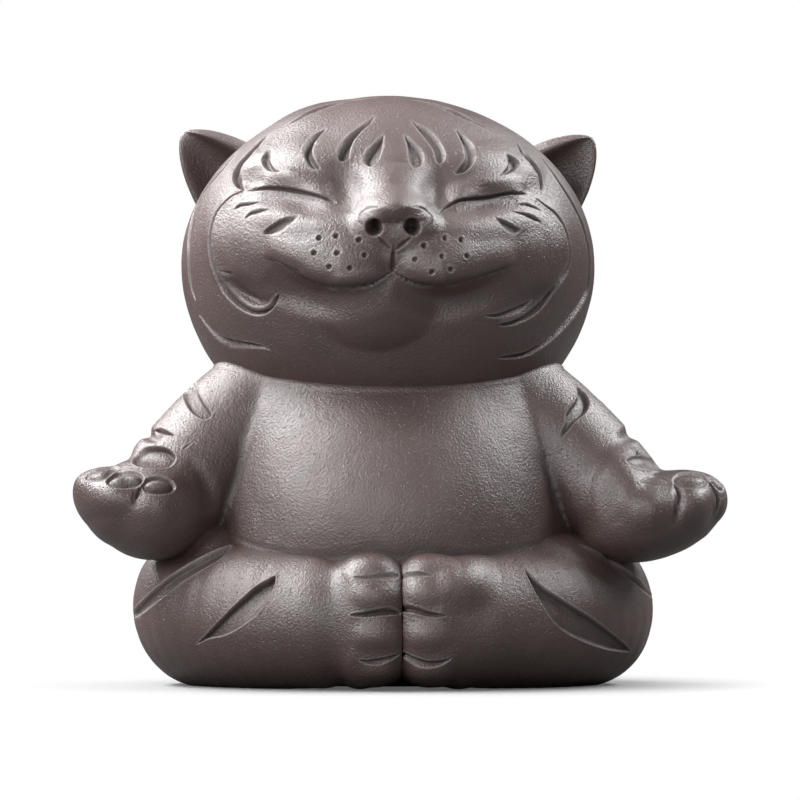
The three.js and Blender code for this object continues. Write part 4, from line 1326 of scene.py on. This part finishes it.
legStrokes = {
    "rightFootCreaseTop": {"line": [(352, 577), (362, 577.5), (376, 577), (392, 576), (399, 575)],
        "width": 1.5, "depth": 0.2, "blunt": 0.5, "peak": 0.8, "wearAndHighlight": 0.1},
    "leftFootCreaseTop": {"line": [(402, 577), (410, 574.5), (422, 574), (434, 576)], "width": 1.4,
        "depth": 0.28, "blunt": 0.5, "peak": 0.2, "wearAndHighlight": 0.2},
    "rightFootCrease": {"line": [(350, 615.5), (364, 615), (380, 613), (392, 612.5), (401, 614)],
        "width": 1.3, "depth": 0.7, "blunt": 0.4, "peak": 0.7, "steep": 0.6, "wearAndHighlight": 0.4},
    "leftFootCrease": {"line": [(402, 609), (414, 610.5), (427, 614), (438, 615.5), (447, 616)],
        "width": 1.3, "depth": 0.7, "blunt": 0.4, "peak": 0.3, "steep": 0.6, "wearAndHighlight": 0.4},
    "rightFootCreaseLow": {"line": [(358, 660), (366, 661.5), (375, 661.5), (387, 659), (400, 654)],
        "width": 1.2, "depth": 0.5, "blunt": 0.5, "steep": 0.4, "wearAndHighlight": 0.5},
    "leftFootCreaseLow": {"line": [(402, 653), (412, 659), (426, 663.5), (440, 662.5), (452, 658)],
        "width": 1.4, "depth": 0.6, "blunt": 0.4, "steep": 0.4, "wearAndHighlight": 1},
}

legPockets = {
    "rightUpperStripe": {"outline": [(232, 545.5), (218, 549), (205, 555), (191, 562.5), (172, 574.5),
        (156, 587.5), (143, 600), (133.5, 611), (136, 618), (150, 608), (163, 597.5), (181, 582.5),
        (205, 568), (220, 559)], "depth": 0.7, "deepSide": (-0.4, -1)},
    "rightLeaf": {"outline": [(276, 576), (266, 580), (254, 587.5), (240, 600), (227, 612.5), (212, 628),
        (197, 644), (209, 639), (222, 636.5), (234, 631.5), (246, 623.5), (256, 615.5), (265, 604),
        (272.5, 591)], "depth": 0.9, "deepSide": (-0.6, -1)},
    "leftLeaf": {"outline": [(524, 567), (534, 577), (546, 588.5), (558, 596.5), (572, 605.5), (598, 622.5),
        (630, 649.5), (614, 651), (598, 647), (581, 640.5), (566, 632.5), (554.5, 622.5), (545.5, 610),
        (538, 597), (529, 580)], "depth": 0.9, "deepSide": (-1, 0.5)},
    "leftUpperStripe": {"outline": [(580, 545), (594, 550), (607, 556.5), (620, 565), (632, 573),
        (644, 585), (655, 600), (643, 591), (630, 580), (618, 570), (605, 561), (592, 553)], "depth": 0.6,
        "deepSide": (0.3, -1)},
}


def makeLeg(word, side):
    bm = bmesh.new()
    drift = leg["kneeDrift"][side]
    roll = [(x + drift * share, *rest) for share, (x, *rest) in zip(leg["driftShare"], leg["roll"])]
    addRoll(bm, onSide(roll, side), leg["beads"])
    for ball in (leg["foot"], leg["footSide"][side], leg["lap"][side]):
        addBallOn(bm, ball, side)
    bm = fused(bm, leg["voxel"])
    burnish(bm, leg["burnishing"])
    for times, spots in leg["rubbed"]:
        burnish(bm, times, onSide(spots, side))
    movePoints(bm, settle(pointsOf(bm)))
    middle = settle([leg["meet"]])[0][0]
    kept, spare = parted(bm, (middle + side * leg["gap"], 0, 0), (-side, 0, 0))
    spare.free()
    forms, strokes, pockets = ([item for key, item in drawn.items() if key.startswith(word)]
                               for drawn in (legForms, legStrokes, legPockets))
    pressForms(kept, forms)
    for margin in leg["fine"]:
        refineFor(kept, margin, strokes, pockets)
    handWork(kept, leg["handWork"])
    carve(kept, strokes, pockets)
    markSkin(kept)
    kept, spare = parted(kept, (0, 0, leg["ground"]), (0, 0, -1))
    spare.free()
    thigh, sole = partedAt(kept, leg["ankleCut"], side)
    finishPiece(thigh, word + "FoldedLeg", [word + "_leg"], burnishedClay)
    finishPiece(sole, word + "FootSole", [word + "_foot"], burnishedClay)


makeLeg("right", -1)
makeLeg("left", 1)


# The tail, curled up against the back

tail = {
    "roll": [(-2, 25.5, 5, 3.6, 3.6), (6, 27.6, 4.6, 3.6, 3.6), (14, 26.6, 6, 3.5, 3.5),
             (19, 23.6, 11, 3.3, 3.3), (17.6, 24.4, 17, 3.1, 3.1), (12.4, 27, 20, 2.9, 2.9)],
    "beads": 35,
    "voxel": 0.35,
    "burnishing": 5,
    "handWork": 0.05,
}


def makeTail():
    bm = bmesh.new()
    addRoll(bm, tail["roll"], tail["beads"])
    bm = fused(bm, tail["voxel"])
    burnish(bm, tail["burnishing"])
    movePoints(bm, settle(pointsOf(bm)))
    handWork(bm, tail["handWork"])
    markSkin(bm)
    finishPiece(bm, "curledTail", ["tail"], burnishedClay)


makeTail()

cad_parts["base_slab"].data.materials.clear()
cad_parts["base_slab"].data.materials.append(unburnishedClay)
print("base slab dressed")


# The floor and the light

studio = {
    "floorSize": 3.0,
    "floorColour": 0.12,
    "floorSeen": 0.26,  # how much paler the camera sees it, so that it is white outside the shadow
    "floorRoughness": 0.9,
    "floorShine": 0.1,
    "floorGlow": 0.10,
    "nearFloor": 0.036,  # the floor's own shading turns to plain white from here
    "farFloor": 0.058,  # to here
    "worldLight": 0.012,
    "aim": (0, 0, 0.045),  # what the lamps point at
    "shineLight": 0.16,  # how much of the white surround the glossy rays see: burnished clay, not metal
}

lamps = {
    "key": {"at": (-0.52, 0.02, 0.72), "size": 0.36, "watts": 6.6},
    "sideLeft": {"at": (-0.648, -0.405, 0.418), "size": 0.45, "watts": 4.4},
    "lowFront": {"at": (-0.10, -0.80, 0.26), "size": 0.36, "watts": 1.6},
    "right": {"at": (0.60, 0.0, 0.64), "size": 0.36, "watts": 3.7},
    "backRight": {"at": (0.53, 0.36, 0.60), "size": 0.36, "watts": 4.0},
    "backLeft": {"at": (-0.49, 0.36, 0.58), "size": 0.36, "watts": 7.2},
    "above": {"at": (-0.03, 0.36, 0.83), "size": 0.36, "watts": 0.8},
}


def makeFloor():
    bm = bmesh.new()
    bmesh.ops.create_grid(bm, x_segments=2, y_segments=2, size=studio["floorSize"] / 2)
    mesh = bpy.data.meshes.new("paleFloor")
    bm.to_mesh(mesh)
    bm.free()
    floor = bpy.data.objects.new("paleFloor", mesh)
    bpy.context.scene.collection.objects.link(floor)
    material = bpy.data.materials.new("paleFloor")
    material.use_nodes = True
    tree = material.node_tree
    tree.nodes.clear()
    link = tree.links.new
    out = placed(tree, "ShaderNodeOutputMaterial", (800, 0))
    matt = placed(tree, "ShaderNodeBsdfPrincipled", (0, 0))
    matt.inputs["Roughness"].default_value = studio["floorRoughness"]
    matt.inputs["Specular IOR Level"].default_value = studio["floorShine"]
    matt.inputs["Emission Color"].default_value = (1, 1, 1, 1)
    rays = placed(tree, "ShaderNodeLightPath", (-600, -200))
    pale = math2(tree, "MULTIPLY_ADD", rays.outputs["Is Camera Ray"], studio["floorSeen"], (-300, 0))
    pale.node.inputs[2].default_value = studio["floorColour"]
    link(pale, matt.inputs["Base Color"])
    link(math2(tree, "MULTIPLY", rays.outputs["Is Camera Ray"], studio["floorGlow"], (-300, -200)),
         matt.inputs["Emission Strength"])
    far = placed(tree, "ShaderNodeEmission", (0, 260))
    far.inputs["Strength"].default_value = 1
    where = placed(tree, "ShaderNodeTexCoord", (-900, 200))
    length = placed(tree, "ShaderNodeVectorMath", (-700, 200), operation="LENGTH")
    link(where.outputs["Object"], length.inputs[0])
    distance = ranged(tree, length.outputs["Value"], studio["nearFloor"], studio["farFloor"], 0, 1,
                      (-500, 200))
    factor = math2(tree, "MULTIPLY", distance, rays.outputs["Is Camera Ray"], (-200, 200))
    mix = placed(tree, "ShaderNodeMixShader", (400, 0))
    link(factor, mix.inputs[0])
    link(matt.outputs[0], mix.inputs[1])
    link(far.outputs[0], mix.inputs[2])
    link(mix.outputs[0], out.inputs[0])
    mesh.materials.append(material)


def makeWorld():
    world = bpy.data.worlds.new("studio")
    world.use_nodes = True
    tree = world.node_tree
    tree.nodes.clear()
    out = placed(tree, "ShaderNodeOutputWorld", (400, 0))
    sky = placed(tree, "ShaderNodeBackground", (200, 0))
    sky.inputs["Color"].default_value = (1, 1, 1, 1)
    rays = placed(tree, "ShaderNodeLightPath", (-400, 0))
    seen = math2(tree, "MAXIMUM", rays.outputs["Is Camera Ray"], rays.outputs["Is Transmission Ray"],
                 (-200, 0))
    shine = math2(tree, "MULTIPLY", rays.outputs["Is Glossy Ray"], studio["shineLight"], (-200, -200))
    seen = math2(tree, "MAXIMUM", seen, shine, (-100, 0))
    strength = math2(tree, "MULTIPLY_ADD", seen, 1 - studio["worldLight"], (0, 0))
    strength.node.inputs[2].default_value = studio["worldLight"]
    tree.links.new(strength, sky.inputs["Strength"])
    tree.links.new(sky.outputs[0], out.inputs[0])
    bpy.context.scene.world = world


def makeLamps():
    aim = Vector(studio["aim"])
    for name, lamp in lamps.items():
        light = bpy.data.lights.new(name, "AREA")
        light.shape = "DISK"
        light.size = lamp["size"]
        light.energy = lamp["watts"]
        holder = bpy.data.objects.new(name, light)
        holder.location = lamp["at"]
        holder.rotation_euler = (aim - Vector(lamp["at"])).to_track_quat("-Z", "Y").to_euler()
        bpy.context.scene.collection.objects.link(holder)


def makeCamera():
    lens = bpy.data.cameras.new("camera")
    lens.lens = view["lens"]
    lens.sensor_width = view["sensor"]
    lens.clip_end = view["farthest"]
    camera = bpy.data.objects.new("camera", lens)
    camera.location = Vector(cameraPlace * mm)
    camera.rotation_euler = Vector(-towardsCamera).to_track_quat("-Z", "Y").to_euler()
    bpy.context.scene.collection.objects.link(camera)
    bpy.context.scene.camera = camera


makeFloor()
makeWorld()
makeLamps()
makeCamera()
bpy.context.scene.view_settings.view_transform = "Standard"
print("floor, light and camera set")
